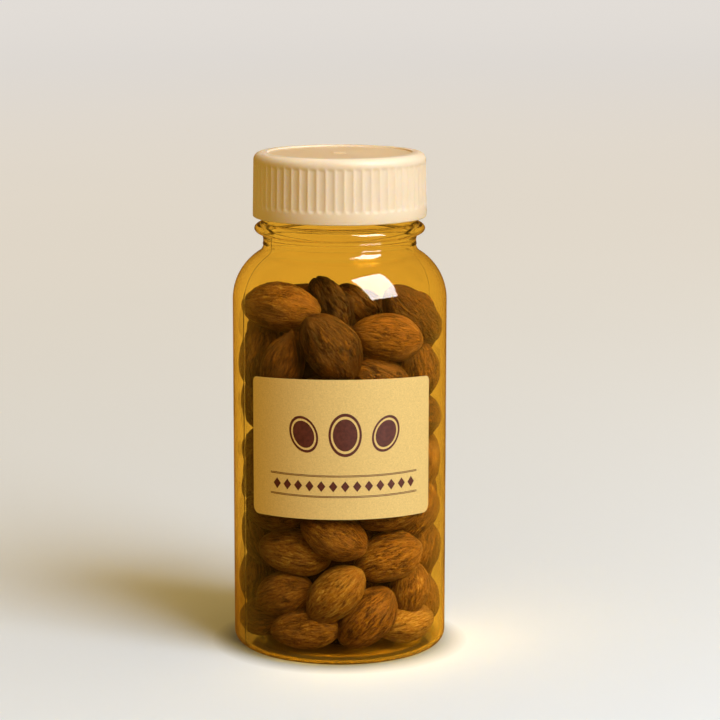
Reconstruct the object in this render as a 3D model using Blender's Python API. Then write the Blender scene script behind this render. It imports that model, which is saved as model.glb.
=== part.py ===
# A clear screw-top jar filled with whole betel nuts, with a ribbed cap and a wrap label.
# Metres, +Z up. The origin is on the table, at the middle of the jar's foot, and the label faces -Y.

import math
import random

import bmesh
import bpy
from mathutils import Matrix, Vector

MM = 0.001

# Jar
BODY_RADIUS = 34.4 * MM
WALL = 1.15 * MM
FOOT_INNER_RADIUS = 26.5 * MM
FOOT_OUTER_RADIUS = 30.4 * MM
HEEL_RADIUS = BODY_RADIUS - FOOT_OUTER_RADIUS
PUSH_UP = 1.5 * MM
SHOULDER_START = 113.0 * MM
SHOULDER_RADIUS = 18.0 * MM
SHOULDER_SWEEP = math.radians(58.0)
NECK_RADIUS = 24.5 * MM
BEAD_RADIUS = 27.35 * MM
BEAD_LOW = 133.9 * MM
BEAD_HIGH = 137.9 * MM
FINISH_RADIUS = 25.1 * MM
LIP_HEIGHT = 158.0 * MM
JAR_SEGMENTS = 48

# Cap
CAP_LOW = 139.7 * MM
CAP_HIGH = 160.3 * MM
CAP_RADIUS = 27.8 * MM
CAP_TOP_RADIUS = 27.55 * MM
CAP_WALL = 1.4 * MM
CAP_TOP_THICKNESS = 1.4 * MM
PANEL_RADIUS = 23.1 * MM
PANEL_DEPTH = 0.55 * MM
SKIRT_HIGH = 142.7 * MM
RIB_HIGH = 157.8 * MM
RIB_COUNT = 60
GROOVE_SHARE = 0.72
GROOVE_DEPTH = 0.4 * MM
GROOVE_RAMP = 0.8 * MM

# Label
LABEL_LOW = 48.0 * MM
LABEL_HIGH = 92.5 * MM
LABEL_HALF_ANGLE = math.radians(53.3)
LABEL_TURN = math.radians(1.2)
LABEL_GAP = 0.25 * MM
LABEL_THICKNESS = 0.3 * MM
LABEL_CORNER = 2.2 * MM
LABEL_STEPS = 32

# Smooth shading stops at edges sharper than these
SHARP_ANGLE = math.radians(35.0)
NUT_SHARP_ANGLE = math.radians(55.0)

# Nuts
CLEARANCE = 0.3 * MM
NUT_SPACE_RADIUS = 33.1 * MM
NUT_FLOOR = 3.4 * MM
HEAP_HIGH = 119.5 * MM
HIDDEN_HIGH = 109.0 * MM
HIDDEN_COUNT = 66
HIDDEN_LENGTHS = (20.0, 24.5)
HIDDEN_WIDTHS = (13.6, 16.0)
HIDDEN_TILT = 75.0
HIDDEN_TURN = 25.0
HIDDEN_REACH = 25.0 * MM
INNER_REACHES = (3.0, 9.0)
BEHIND_FRONT = (-2.0, 14.0)
BEHIND_SQUEEZE = 0.6
GOLDEN_ANGLE = math.radians(137.508)
NUT_FLATNESS = 0.92
NUT_SIDES = 6
NUT_RINGS = 4
NUT_FACET_GAIN = 1.05
CORE_RADIUS = 22.0 * MM
CORE_LOW = 7.0 * MM
CORE_DOME_LOW = 94.0 * MM
CORE_DOME_HIGH = 108.0 * MM
CORE_SEGMENTS = 20
SHOWN_REACH = 29.5 * MM
SHOWN_HIGH = 103.0 * MM
SETTLE_STEPS = 140
SETTLE_SINK = 0.12 * MM
SETTLE_OUTWARD = 0.5 * MM
SETTLE_BACKWARD = 1.2 * MM
HOME_PULL = (0.35, 0.12, 0.35)
NEIGHBOUR_REACH = 26.0 * MM
PARTED_SHARE = 0.7
FRONT_GIVES = 0.23
LARGEST_MOVE = 2.0 * MM

# The balls that stand for a nut while it settles, as shares of its width
BIG_BALL = 0.47
END_BALL = 0.36
END_BALL_INSET = 0.37

# The nuts against the front wall: centre x, y and z in mm, tilt and turn of the long axis in degrees,
# then length and width in mm. The first 13 lie above the label and the rest below it.
FRONT_NUTS = [
    (-17.5, -15.0, 112.0, -4, 0, 26.0, 15.6),
    (-11.0, 3.0, 112.3, -12, 0, 22.0, 14.5),
    (-2.0, -3.0, 112.8, -60, 0, 22.0, 14.2),
    (6.5, 2.0, 108.6, -46, 0, 22.5, 13.5),
    (23.2, -10.0, 108.7, -48, 20, 23.5, 15.2),
    (28.5, 3.0, 104.6, -85, 60, 20.5, 13.5),
    (-2.8, -25.0, 100.9, -55, 0, 24.2, 17.6),
    (17.0, -21.0, 103.3, -6, 0, 22.6, 15.3),
    (-16.2, -20.0, 94.6, 58, 0, 24.5, 13.6),
    (-26.5, -5.0, 95.8, 80, 0, 23.5, 14.7),
    (-6.4, -22.0, 84.7, 10, 0, 21.5, 14.0),
    (11.5, -22.0, 90.2, -22, 0, 22.4, 14.8),
    (26.2, -11.0, 92.3, -75, 30, 21.5, 14.2),
    (-21.0, -20.0, 47.6, 2, -30, 22.3, 14.7),
    (-1.8, -25.0, 41.0, -25, 0, 22.5, 14.8),
    (14.7, -24.0, 48.2, 5, 0, 22.6, 14.5),
    (25.1, -14.0, 45.7, 60, 30, 20.3, 13.6),
    (27.6, -5.0, 31.7, 80, 40, 19.8, 13.5),
    (-27.8, -3.0, 36.0, -60, -50, 20.5, 14.0),
    (-14.5, -25.0, 34.2, -10, -8, 23.5, 15.0),
    (16.2, -24.0, 32.2, 18, 10, 22.6, 16.2),
    (-17.8, -22.0, 20.0, 20, -20, 19.6, 14.9),
    (-1.2, -27.0, 21.7, 45, 0, 22.6, 15.2),
    (8.8, -26.0, 13.2, 48, 5, 23.4, 16.0),
    (-10.8, -26.0, 8.6, 4, -5, 22.3, 13.4),
    (22.0, -20.0, 8.8, 8, 25, 19.2, 12.8),
    (23.2, -19.0, 20.8, 80, 20, 17.0, 12.8),
    (27.4, -4.0, 15.0, -75, 50, 18.5, 13.0),
    (-27.8, -4.0, 21.2, 85, -50, 20.2, 13.7),
    (-25.5, -8.0, 8.2, 10, -50, 19.5, 13.0),
]


def remove_scene_objects():
    for obj in list(bpy.data.objects):
        bpy.data.objects.remove(obj, do_unlink=True)


def make_material(name, colour, roughness, alpha=1.0):
    material = bpy.data.materials.new(name)
    material.use_nodes = True
    shader = material.node_tree.nodes["Principled BSDF"]
    shader.inputs["Base Color"].default_value = (*colour, 1.0)
    shader.inputs["Roughness"].default_value = roughness
    shader.inputs["Metallic"].default_value = 0.0
    shader.inputs["Alpha"].default_value = alpha
    return material


def add_object(name, mesh_builder, material):
    mesh = bpy.data.meshes.new(name)
    bmesh.ops.recalc_face_normals(mesh_builder, faces=mesh_builder.faces)
    mesh_builder.to_mesh(mesh)
    mesh_builder.free()
    obj = bpy.data.objects.new(name, mesh)
    bpy.context.scene.collection.objects.link(obj)
    mesh.materials.append(material)
    mesh.shade_smooth()
    mesh.set_sharp_from_angle(angle=SHARP_ANGLE)
    return obj


def arc(centre_r, centre_z, radius, start, end, steps):
    """Points (r, z) on an arc, angles in radians from +r towards +z, both ends included."""
    points = []
    for i in range(steps + 1):
        angle = start + (end - start) * i / steps
        points.append((centre_r + radius * math.cos(angle), centre_z + radius * math.sin(angle)))
    return points


def turned(profile, segments):
    """Spin an (r, z) outline that starts and ends on the axis about Z; its two ends become single poles."""
    builder = bmesh.new()
    verts = [builder.verts.new((r, 0.0, z)) for r, z in profile]
    edges = [builder.edges.new(pair) for pair in zip(verts, verts[1:])]
    bmesh.ops.spin(
        builder, geom=verts + edges, cent=(0, 0, 0), axis=(0, 0, 1),
        angle=math.tau, steps=segments, use_merge=True, use_duplicate=False)
    bmesh.ops.remove_doubles(builder, verts=builder.verts, dist=0.002 * MM)
    return builder


def jar_profile():
    """Outer skin from the base's middle up to the lip, then the inner skin back down."""
    outer = [(0.0, PUSH_UP), (FOOT_INNER_RADIUS - 2.0 * MM, 0.6 * PUSH_UP), (FOOT_INNER_RADIUS, 0.0)]
    outer += arc(FOOT_OUTER_RADIUS, HEEL_RADIUS, HEEL_RADIUS, -math.pi / 2, 0.0, 3)
    shoulder_r = BODY_RADIUS - SHOULDER_RADIUS
    shoulder = arc(shoulder_r, SHOULDER_START, SHOULDER_RADIUS, 0.0, SHOULDER_SWEEP, 5)
    outer += shoulder
    # The fillet turns the shoulder's slope up into the neck, so its radius follows from both.
    fillet = (shoulder[-1][0] - NECK_RADIUS) / (1.0 - math.cos(SHOULDER_SWEEP))
    fillet_z = shoulder[-1][1] + fillet * math.sin(SHOULDER_SWEEP)
    fillet_r = NECK_RADIUS + fillet
    outer += arc(fillet_r, fillet_z, fillet, math.pi + SHOULDER_SWEEP, math.pi, 2)[1:]
    bead_z = 0.5 * (BEAD_LOW + BEAD_HIGH)
    bead_half = 0.5 * (BEAD_HIGH - BEAD_LOW)
    outer += [(NECK_RADIUS, BEAD_LOW), (BEAD_RADIUS - 0.9 * MM, bead_z - 0.75 * bead_half)]
    outer += [(BEAD_RADIUS, bead_z), (BEAD_RADIUS - 0.9 * MM, bead_z + 0.8 * bead_half)]
    outer += [(FINISH_RADIUS, BEAD_HIGH), (FINISH_RADIUS, LIP_HEIGHT)]

    inner_radius = BODY_RADIUS - WALL
    inner = [(FINISH_RADIUS - 1.6 * MM, LIP_HEIGHT), (NECK_RADIUS - WALL, BEAD_LOW - 1.0 * MM)]
    inner.append((NECK_RADIUS - WALL, fillet_z))
    inner += arc(shoulder_r, SHOULDER_START, SHOULDER_RADIUS - WALL, SHOULDER_SWEEP, 0.0, 3)
    heel_inner = HEEL_RADIUS - WALL
    inner += arc(inner_radius - heel_inner, HEEL_RADIUS, heel_inner, 0.0, -math.pi / 2, 2)
    inner += [(FOOT_INNER_RADIUS - 2.0 * MM, 0.6 * PUSH_UP + WALL), (0.0, PUSH_UP + WALL)]
    return outer + inner


def make_jar():
    material = make_material("jar", (0.83, 0.62, 0.22), 0.06, alpha=0.35)
    return add_object("jar", turned(jar_profile(), JAR_SEGMENTS), material)


def cap_profile():
    """Inner skin from the ceiling's middle down to the skirt's rim, then up the outside."""
    inner_radius = CAP_RADIUS - CAP_WALL
    ceiling = CAP_HIGH - PANEL_DEPTH - CAP_TOP_THICKNESS
    profile = [(0.0, ceiling), (inner_radius - 0.6 * MM, ceiling), (inner_radius, ceiling - 0.6 * MM)]
    profile += [(inner_radius, CAP_LOW + 0.5 * MM), (inner_radius + 0.4 * MM, CAP_LOW)]
    profile += [(CAP_RADIUS - 0.3 * MM, CAP_LOW), (CAP_RADIUS, CAP_LOW + 0.4 * MM), (CAP_RADIUS, SKIRT_HIGH)]
    rim = CAP_HIGH - RIB_HIGH
    profile += arc(CAP_TOP_RADIUS - rim, RIB_HIGH, rim, 0.0, math.pi / 2, 4)
    profile += [(PANEL_RADIUS + 0.3 * MM, CAP_HIGH), (PANEL_RADIUS, CAP_HIGH - PANEL_DEPTH)]
    profile.append((0.0, CAP_HIGH - PANEL_DEPTH))
    return profile


def groove_cutters():
    """One wedge for each groove; its sloped ends leave the ramps at the groove's two ends."""
    builder = bmesh.new()
    pitch = math.tau / RIB_COUNT
    low = SKIRT_HIGH + 0.2 * MM
    high = RIB_HIGH - 0.2 * MM
    for i in range(RIB_COUNT):
        turn = Matrix.Rotation((i + 0.5) * pitch, 4, "Z")
        rings = []
        # The floor of the groove, then the wider face that stands outside the wall.
        for radius, ramp in ((CAP_TOP_RADIUS - GROOVE_DEPTH, GROOVE_RAMP), (CAP_RADIUS + 1.0 * MM, -GROOVE_RAMP)):
            half = 0.5 * GROOVE_SHARE * pitch * radius
            corners = [(-half, low + ramp), (half, low + ramp), (half, high - ramp), (-half, high - ramp)]
            rings.append([builder.verts.new(turn @ Vector((radius, y, z))) for y, z in corners])
        floor, face = rings
        builder.faces.new(floor[::-1])
        builder.faces.new(face)
        for j in range(4):
            k = (j + 1) % 4
            builder.faces.new((floor[j], floor[k], face[k], face[j]))
    return builder


def make_cap():
    material = make_material("cap", (0.82, 0.68, 0.47), 0.42)
    cap = add_object("cap", turned(cap_profile(), RIB_COUNT), material)
    cutter = add_object("cap_groove_cutter", groove_cutters(), material)
    cutter.hide_render = True
    cutter.display_type = "WIRE"
    cut = cap.modifiers.new("grooves", "BOOLEAN")
    cut.operation = "DIFFERENCE"
    cut.object = cutter
    return cap


def label_columns():
    """Arc positions from the label's left end to its right, close together round the corners."""
    half_length = LABEL_HALF_ANGLE * BODY_RADIUS
    corner = [LABEL_CORNER * (1.0 - math.cos(math.radians(a))) for a in (0, 25, 45, 65, 90)]
    middle = 2.0 * (half_length - LABEL_CORNER)
    left = [-half_length + c for c in corner]
    straight = [left[-1] + middle * i / LABEL_STEPS for i in range(1, LABEL_STEPS)]
    return left + straight + [-s for s in reversed(left)]


def make_label():
    material = make_material("label", (0.80, 0.66, 0.36), 0.55)
    builder = bmesh.new()
    half_length = LABEL_HALF_ANGLE * BODY_RADIUS
    inner = BODY_RADIUS + LABEL_GAP
    columns = []
    for s in label_columns():
        into_corner = max(0.0, abs(s) - (half_length - LABEL_CORNER))
        drop = LABEL_CORNER - math.sqrt(max(0.0, LABEL_CORNER ** 2 - into_corner ** 2))
        angle = s / BODY_RADIUS + LABEL_TURN
        column = []
        for radius, z in (
                (inner, LABEL_LOW + drop), (inner + LABEL_THICKNESS, LABEL_LOW + drop),
                (inner + LABEL_THICKNESS, LABEL_HIGH - drop), (inner, LABEL_HIGH - drop)):
            column.append(builder.verts.new((radius * math.sin(angle), -radius * math.cos(angle), z)))
        columns.append(column)
    for a, b in zip(columns, columns[1:]):
        for j in range(4):
            k = (j + 1) % 4
            builder.faces.new((a[j], a[k], b[k], b[j]))
    builder.faces.new(columns[0])
    builder.faces.new(columns[-1])
    return add_object("label", builder, material)


def long_axis(tilt, turn):
    a, b = math.radians(tilt), math.radians(turn)
    return Vector((math.cos(a) * math.cos(b), math.cos(a) * math.sin(b), math.sin(a)))


def front_nuts():
    nuts = []
    for x, y, z, tilt, turn, length, width in FRONT_NUTS:
        place = Vector((x, y, z)) * MM
        nuts.append({
            "place": place, "home": place.copy(), "axis": long_axis(tilt, turn),
            "length": length * MM, "width": width * MM, "at_wall": True})
    return nuts


def hidden_nuts():
    """The nuts behind and inside: they start on a rising golden-angle spiral."""
    draw = random.Random(7)
    nuts = []
    for i in range(HIDDEN_COUNT):
        length = draw.uniform(*HIDDEN_LENGTHS) * MM
        width = draw.uniform(*HIDDEN_WIDTHS) * MM
        inner = i % 4 == 3
        azimuth = GOLDEN_ANGLE * i
        radius = draw.uniform(*INNER_REACHES) * MM if inner else HIDDEN_REACH
        z = NUT_FLOOR + 7.0 * MM + (HIDDEN_HIGH - NUT_FLOOR - 14.0 * MM) * (i + 0.5) / HIDDEN_COUNT
        x, y = radius * math.sin(azimuth), -radius * math.cos(azimuth)
        if y < -2.0 * MM and not LABEL_LOW + 2.0 * MM < z < LABEL_HIGH - 4.5 * MM:
            y = draw.uniform(*BEHIND_FRONT) * MM
            x *= BEHIND_SQUEEZE
        tilt = draw.uniform(-HIDDEN_TILT, HIDDEN_TILT)
        if inner:
            turn = draw.uniform(0.0, 180.0)
        else:
            turn = math.degrees(azimuth) + draw.uniform(-HIDDEN_TURN, HIDDEN_TURN)
        nuts.append({
            "place": Vector((x, y, z)), "home": None, "axis": long_axis(tilt, turn),
            "length": length, "width": width, "at_wall": not inner})
    return nuts


def nut_balls(nut):
    """Three balls stand for a nut while the heap settles: a big one with a smaller one at each end."""
    reach = 0.5 * nut["length"] - END_BALL_INSET * nut["width"]
    balls = [(nut["place"].copy(), BIG_BALL * nut["width"])]
    for side in (-1.0, 1.0):
        balls.append((nut["place"] + side * reach * nut["axis"], END_BALL * nut["width"]))
    return balls


def deepest_overlap(balls_a, balls_b):
    best = (0.0, None)
    for centre_a, radius_a in balls_a:
        for centre_b, radius_b in balls_b:
            gap = centre_a - centre_b
            overlap = radius_a + radius_b - gap.length
            if overlap > best[0] and gap.length > 0.0:
                best = (overlap, gap.normalized())
    return best


def part_neighbours(nuts):
    """Move each overlapping pair apart; a front nut gives way less than a hidden one."""
    balls = [nut_balls(nut) for nut in nuts]
    moves = [Vector() for nut in nuts]
    for i, nut_a in enumerate(nuts):
        for j in range(i + 1, len(nuts)):
            nut_b = nuts[j]
            if (nut_a["place"] - nut_b["place"]).length > NEIGHBOUR_REACH:
                continue
            overlap, way = deepest_overlap(balls[i], balls[j])
            if way is None:
                continue
            share = 0.5
            if nut_a["home"] and not nut_b["home"]:
                share = FRONT_GIVES
            if nut_b["home"] and not nut_a["home"]:
                share = 1.0 - FRONT_GIVES
            moves[i] += way * PARTED_SHARE * overlap * share
            moves[j] -= way * PARTED_SHARE * overlap * (1.0 - share)
    for nut, move in zip(nuts, moves):
        nut["place"] += Vector([max(-LARGEST_MOVE, min(LARGEST_MOVE, m)) for m in move])


def hold_in_jar(nut):
    place = nut["place"]
    for centre, radius in nut_balls(nut):
        reach = math.hypot(centre.x, centre.y)
        excess = reach + radius - NUT_SPACE_RADIUS
        if excess > 0.0:
            place.x -= centre.x * excess / reach
            place.y -= centre.y * excess / reach
    balls = nut_balls(nut)
    lowest = min(centre.z - radius for centre, radius in balls)
    highest = max(centre.z + radius for centre, radius in balls)
    ceiling = HEAP_HIGH if nut["home"] else HIDDEN_HIGH
    place.z += max(0.0, NUT_FLOOR - lowest) - 0.5 * max(0.0, highest - ceiling)


def settle(nuts):
    for _ in range(SETTLE_STEPS):
        part_neighbours(nuts)
        for nut in nuts:
            place = nut["place"]
            if nut["home"]:
                away = nut["home"] - place
                place += Vector([pull * step for pull, step in zip(HOME_PULL, away)])
            else:
                place.z -= SETTLE_SINK
                if nut["at_wall"]:
                    place += SETTLE_OUTWARD * Vector((place.x, place.y, 0.0)).normalized()
                beside_label = LABEL_LOW < place.z < LABEL_HIGH - 2.5 * MM
                if place.y < -1.0 * MM and not beside_label:
                    place.y += SETTLE_BACKWARD
            hold_in_jar(nut)


def nut_outline(along):
    """Half-width of a nut over its widest, from its blunt end at -1 to its narrower end at 1."""
    taper = 1.0 + 0.06 * along - 0.16 * max(0.0, along) ** 3
    return math.sqrt(max(0.0, 1.0 - along * along)) * taper


def nut_points(nut):
    """The blunt end, the rings of the nut's faceted skin, and the narrower end."""
    axis = nut["axis"]
    side = axis.cross(Vector((0.0, 0.0, 1.0))).normalized()
    up = side.cross(axis)
    half_length = 0.5 * nut["length"]
    half_width = 0.5 * nut["width"]
    rings = []
    for i in range(NUT_RINGS):
        along = -math.cos(math.pi * (i + 1) / (NUT_RINGS + 1))
        width = half_width * nut_outline(along) * NUT_FACET_GAIN
        ring = []
        for j in range(NUT_SIDES):
            angle = math.tau * (j + 0.5 * (i % 2)) / NUT_SIDES
            offset = side * width * NUT_FLATNESS * math.cos(angle) + up * width * math.sin(angle)
            ring.append(nut["place"] + axis * half_length * along + offset)
        rings.append(ring)
    ends = (nut["place"] - axis * half_length, nut["place"] + axis * half_length)
    return ends, rings


def reach_and_height(nut):
    ends, rings = nut_points(nut)
    points = list(ends) + [p for ring in rings for p in ring]
    return max(math.hypot(p.x, p.y) for p in points), max(p.z for p in points), min(p.z for p in points)


def keep_clear_of_wall(nut):
    """A last move inwards and upwards, by the nut's own skin and not by its balls."""
    limit = BODY_RADIUS - WALL - CLEARANCE
    reach, high, low = reach_and_height(nut)
    flat = math.hypot(nut["place"].x, nut["place"].y)
    if reach > limit and flat > 0.0:
        nut["place"].x *= 1.0 - (reach - limit) / flat
        nut["place"].y *= 1.0 - (reach - limit) / flat
    floor = PUSH_UP + WALL + CLEARANCE
    nut["place"].z += max(0.0, floor - low)


def nut_mesh(nut):
    (blunt, narrow), rings = nut_points(nut)
    builder = bmesh.new()
    first = builder.verts.new(blunt)
    last = builder.verts.new(narrow)
    loops = [[builder.verts.new(p) for p in ring] for ring in rings]
    for j in range(NUT_SIDES):
        k = (j + 1) % NUT_SIDES
        builder.faces.new((first, loops[0][k], loops[0][j]))
        builder.faces.new((last, loops[-1][j], loops[-1][k]))
        for i, (a, b) in enumerate(zip(loops, loops[1:])):
            # Each ring is turned half a side from the last, so the skin is a band of triangles.
            if i % 2 == 0:
                builder.faces.new((a[j], a[k], b[j]))
                builder.faces.new((a[k], b[k], b[j]))
            else:
                builder.faces.new((a[j], b[k], b[j]))
                builder.faces.new((a[j], a[k], b[k]))
    return builder


def keep_outer_skin(mesh):
    """Keep the largest connected skin: loose scraps and sealed hollows inside it go."""
    builder = bmesh.new()
    builder.from_mesh(mesh)
    unseen = set(builder.verts)
    skins = []
    while unseen:
        stack = [unseen.pop()]
        skin = set(stack)
        while stack:
            for edge in stack.pop().link_edges:
                for vert in edge.verts:
                    if vert in unseen:
                        unseen.remove(vert)
                        skin.add(vert)
                        stack.append(vert)
        skins.append(skin)
    largest = max(skins, key=len)
    scraps = [vert for skin in skins if skin is not largest for vert in skin]
    bmesh.ops.delete(builder, geom=scraps, context="VERTS")
    builder.to_mesh(mesh)
    builder.free()


def core_profile():
    """A plain drum with a domed top, so that the highest nuts have something to sit in."""
    foot = 4.0 * MM
    dome = CORE_DOME_HIGH - CORE_DOME_LOW
    profile = [(0.0, CORE_LOW), (CORE_RADIUS - foot, CORE_LOW), (CORE_RADIUS, CORE_LOW + foot)]
    for angle in (0.0, 0.5, 1.0):
        profile.append((CORE_RADIUS * math.cos(angle), CORE_DOME_LOW + dome * math.sin(angle)))
    profile.append((0.0, CORE_DOME_HIGH))
    return profile


def make_nuts():
    material = make_material("nuts", (0.19, 0.09, 0.035), 0.62)
    nuts = front_nuts() + hidden_nuts()
    settle(nuts)
    shown = []
    for nut in nuts:
        keep_clear_of_wall(nut)
        reach, high, low = reach_and_height(nut)
        if nut["home"] or reach > SHOWN_REACH or high > SHOWN_HIGH:
            shown.append(nut)

    heap = add_object("nuts", turned(core_profile(), CORE_SEGMENTS), material)

    loose = bpy.data.collections.new("loose_nuts")
    bpy.context.scene.collection.children.link(loose)
    for i, nut in enumerate(shown):
        obj = add_object("loose_nut_%d" % i, nut_mesh(nut), material)
        bpy.context.scene.collection.objects.unlink(obj)
        loose.objects.link(obj)

    fuse = heap.modifiers.new("fuse", "BOOLEAN")
    fuse.operation = "UNION"
    fuse.operand_type = "COLLECTION"
    fuse.collection = loose
    fuse.use_self = True
    evaluated = heap.evaluated_get(bpy.context.evaluated_depsgraph_get())
    fused = bpy.data.meshes.new_from_object(evaluated)
    heap.modifiers.remove(fuse)
    heap.data = fused
    fused.name = "nuts"
    for obj in list(loose.objects):
        bpy.data.objects.remove(obj, do_unlink=True)
    bpy.data.collections.remove(loose)
    keep_outer_skin(fused)
    fused.shade_smooth()
    fused.set_sharp_from_angle(angle=NUT_SHARP_ANGLE)
    return heap


remove_scene_objects()
make_jar()
make_cap()
make_label()
make_nuts()
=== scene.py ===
# Looks of a clear amber jar full of whole betel nuts, with a ribbed cream cap and a paper label.
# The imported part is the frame: every piece here sits where its solid sits, in metres, +Z up, label to -Y.

import math
import random

import bpy
import numpy as np
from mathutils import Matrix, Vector, noise


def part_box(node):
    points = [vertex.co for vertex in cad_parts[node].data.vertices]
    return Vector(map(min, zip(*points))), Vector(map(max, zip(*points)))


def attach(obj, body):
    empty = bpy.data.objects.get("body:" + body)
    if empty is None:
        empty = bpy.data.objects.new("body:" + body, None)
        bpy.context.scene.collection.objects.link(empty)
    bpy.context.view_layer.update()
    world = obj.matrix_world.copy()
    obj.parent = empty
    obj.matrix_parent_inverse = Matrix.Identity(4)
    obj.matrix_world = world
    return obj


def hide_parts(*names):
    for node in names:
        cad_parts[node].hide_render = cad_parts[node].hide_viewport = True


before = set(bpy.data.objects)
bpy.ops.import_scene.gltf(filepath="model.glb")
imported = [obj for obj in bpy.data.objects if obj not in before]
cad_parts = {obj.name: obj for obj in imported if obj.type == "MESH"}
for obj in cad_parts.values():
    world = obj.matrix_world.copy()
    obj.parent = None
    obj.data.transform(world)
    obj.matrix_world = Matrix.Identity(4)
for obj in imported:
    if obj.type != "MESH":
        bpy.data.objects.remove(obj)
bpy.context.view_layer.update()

mm = 0.001
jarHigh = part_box("jar")[1]
capLow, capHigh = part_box("cap")
labelLow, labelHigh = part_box("label")
bodyRadius = jarHigh.x
print("frame loaded")


# Small helpers for meshes and node trees

def addPiece(name, verts, faces, material, sharpAngle=None):
    mesh = bpy.data.meshes.new(name)
    mesh.from_pydata([tuple(v) for v in verts], [], faces)
    mesh.validate()
    mesh.materials.append(material)
    mesh.shade_smooth()
    if sharpAngle:
        mesh.set_sharp_from_angle(angle=math.radians(sharpAngle))
    piece = bpy.data.objects.new(name, mesh)
    bpy.context.scene.collection.objects.link(piece)
    return piece


def ridesOnJar(piece, slotName, *nodes):
    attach(piece, "root")
    if nodes:
        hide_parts(*nodes)


def addNode(tree, kind, x, y, inputs=None, **settings):
    node = tree.nodes.new(kind)
    node.location = (x, y)
    for key, value in settings.items():
        setattr(node, key, value)
    for key, value in (inputs or {}).items():
        node.inputs[key].default_value = value
    return node


def startMaterial(name, shaderInputs):
    material = bpy.data.materials.new(name)
    material.use_nodes = True
    tree = material.node_tree
    tree.nodes.clear()
    output = addNode(tree, "ShaderNodeOutputMaterial", 1200, 0)
    shader = addNode(tree, "ShaderNodeBsdfPrincipled", 800, 0, shaderInputs)
    tree.links.new(shader.outputs["BSDF"], output.inputs["Surface"])
    return material, tree, shader


def feedShader(tree, shader, values):
    for socket, value in values.items():
        tree.links.new(value, shader.inputs[socket])


def mixSurface(tree, factor, first, second, x, y):
    # A mix of two shaders takes the place of the one on the surface
    mix = addNode(tree, "ShaderNodeMixShader", x, y)
    tree.links.new(factor, mix.inputs[0])
    tree.links.new(first.outputs[0], mix.inputs[1])
    tree.links.new(second.outputs[0], mix.inputs[2])
    tree.links.new(mix.outputs["Shader"], tree.nodes["Material Output"].inputs["Surface"])


def objectCoords(tree):
    return addNode(tree, "ShaderNodeTexCoord", -1200, 0).outputs["Object"]


def scaled(tree, vector, scale, x, y):
    mapping = addNode(tree, "ShaderNodeMapping", x, y, {"Scale": scale})
    tree.links.new(vector, mapping.inputs["Vector"])
    return mapping.outputs["Vector"]


def noiseOn(tree, vector, scale, detail, x, y, rough=0.5, distortion=0.0):
    node = addNode(tree, "ShaderNodeTexNoise", x, y, {
        "Scale": scale, "Detail": detail, "Roughness": rough, "Distortion": distortion})
    tree.links.new(vector, node.inputs["Vector"])
    return node.outputs["Fac"]


def rampOn(tree, value, stops, x, y):
    node = addNode(tree, "ShaderNodeValToRGB", x, y)
    ramp = node.color_ramp
    while len(ramp.elements) < len(stops):
        ramp.elements.new(0.5)
    for element, (place, colour) in zip(ramp.elements, stops):
        element.position = place
        element.color = (*colour, 1.0)
    tree.links.new(value, node.inputs["Fac"])
    return node.outputs["Color"]


def rangeOn(tree, value, low, high, x, y, fromLow=0.0, fromHigh=1.0):
    node = addNode(tree, "ShaderNodeMapRange", x, y, {
        "From Min": fromLow, "From Max": fromHigh, "To Min": low, "To Max": high})
    tree.links.new(value, node.inputs["Value"])
    return node.outputs["Result"]


def mathOn(tree, operation, a, b, x, y):
    node = addNode(tree, "ShaderNodeMath", x, y, operation=operation)
    for socket, value in zip(node.inputs, (a, b)):
        if isinstance(value, (int, float)):
            socket.default_value = value
        else:
            tree.links.new(value, socket)
    return node.outputs["Value"]


def addShare(tree, value, share, base, x, y):
    # A share of one value on top of another
    total = mathOn(tree, "MULTIPLY_ADD", value, share, x, y)
    tree.links.new(base, total.node.inputs[2])
    return total


def mixOn(tree, factor, a, b, x, y, blend="MIX"):
    node = addNode(tree, "ShaderNodeMix", x, y, data_type="RGBA", blend_type=blend)
    for socket, value in ((node.inputs[0], factor), (node.inputs[6], a), (node.inputs[7], b)):
        if isinstance(value, (int, float)):
            socket.default_value = value
        elif isinstance(value, tuple):
            socket.default_value = (*value, 1.0)
        else:
            tree.links.new(value, socket)
    return node.outputs[2]


def bumpOn(tree, height, strength, distance, x, y, normal=None):
    node = addNode(tree, "ShaderNodeBump", x, y, {"Strength": strength, "Distance": distance})
    tree.links.new(height, node.inputs["Height"])
    if normal:
        tree.links.new(normal, node.inputs["Normal"])
    return node.outputs["Normal"]


def arc(centreR, centreZ, radius, start, end, steps):
    angles = [start + (end - start) * i / steps for i in range(steps + 1)]
    return [(centreR + radius * math.cos(a), centreZ + radius * math.sin(a)) for a in angles]


def smooth(value):
    t = max(0.0, min(1.0, value))
    return t * t * (3.0 - 2.0 * t)


def shadesOf(colour, low, high):
    return tuple(low * c for c in colour), tuple(min(1.0, high * c) for c in colour)


def turnedPoint(radius, angle, z):
    # A point at an angle from the front, measured towards +X
    return (radius * math.sin(angle), -radius * math.cos(angle), z)


def addRow(verts, points):
    # Adds points to a mesh and gives back their numbers
    first = len(verts)
    verts.extend(points)
    return list(range(first, len(verts)))


def bandFaces(low, high, closed=True):
    # Faces between two rings or two open rows; a ring of one point is a pole
    count = max(len(low), len(high))
    faces = []
    for i in range(count if closed else count - 1):
        k = (i + 1) % count
        if len(low) == 1:
            faces.append((low[0], high[i], high[k])[::-1])
        elif len(high) == 1:
            faces.append((low[i], low[k], high[0]))
        else:
            faces.append((low[i], low[k], high[k], high[i]))
    return faces


def allBands(rings, closed=True):
    faces = []
    for low, high in zip(rings, rings[1:]):
        faces += bandFaces(low, high, closed)
    return faces


# One tree turns copies of a small mesh round the jar's axis: the cap's ribs and the label's diamonds use it

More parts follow.
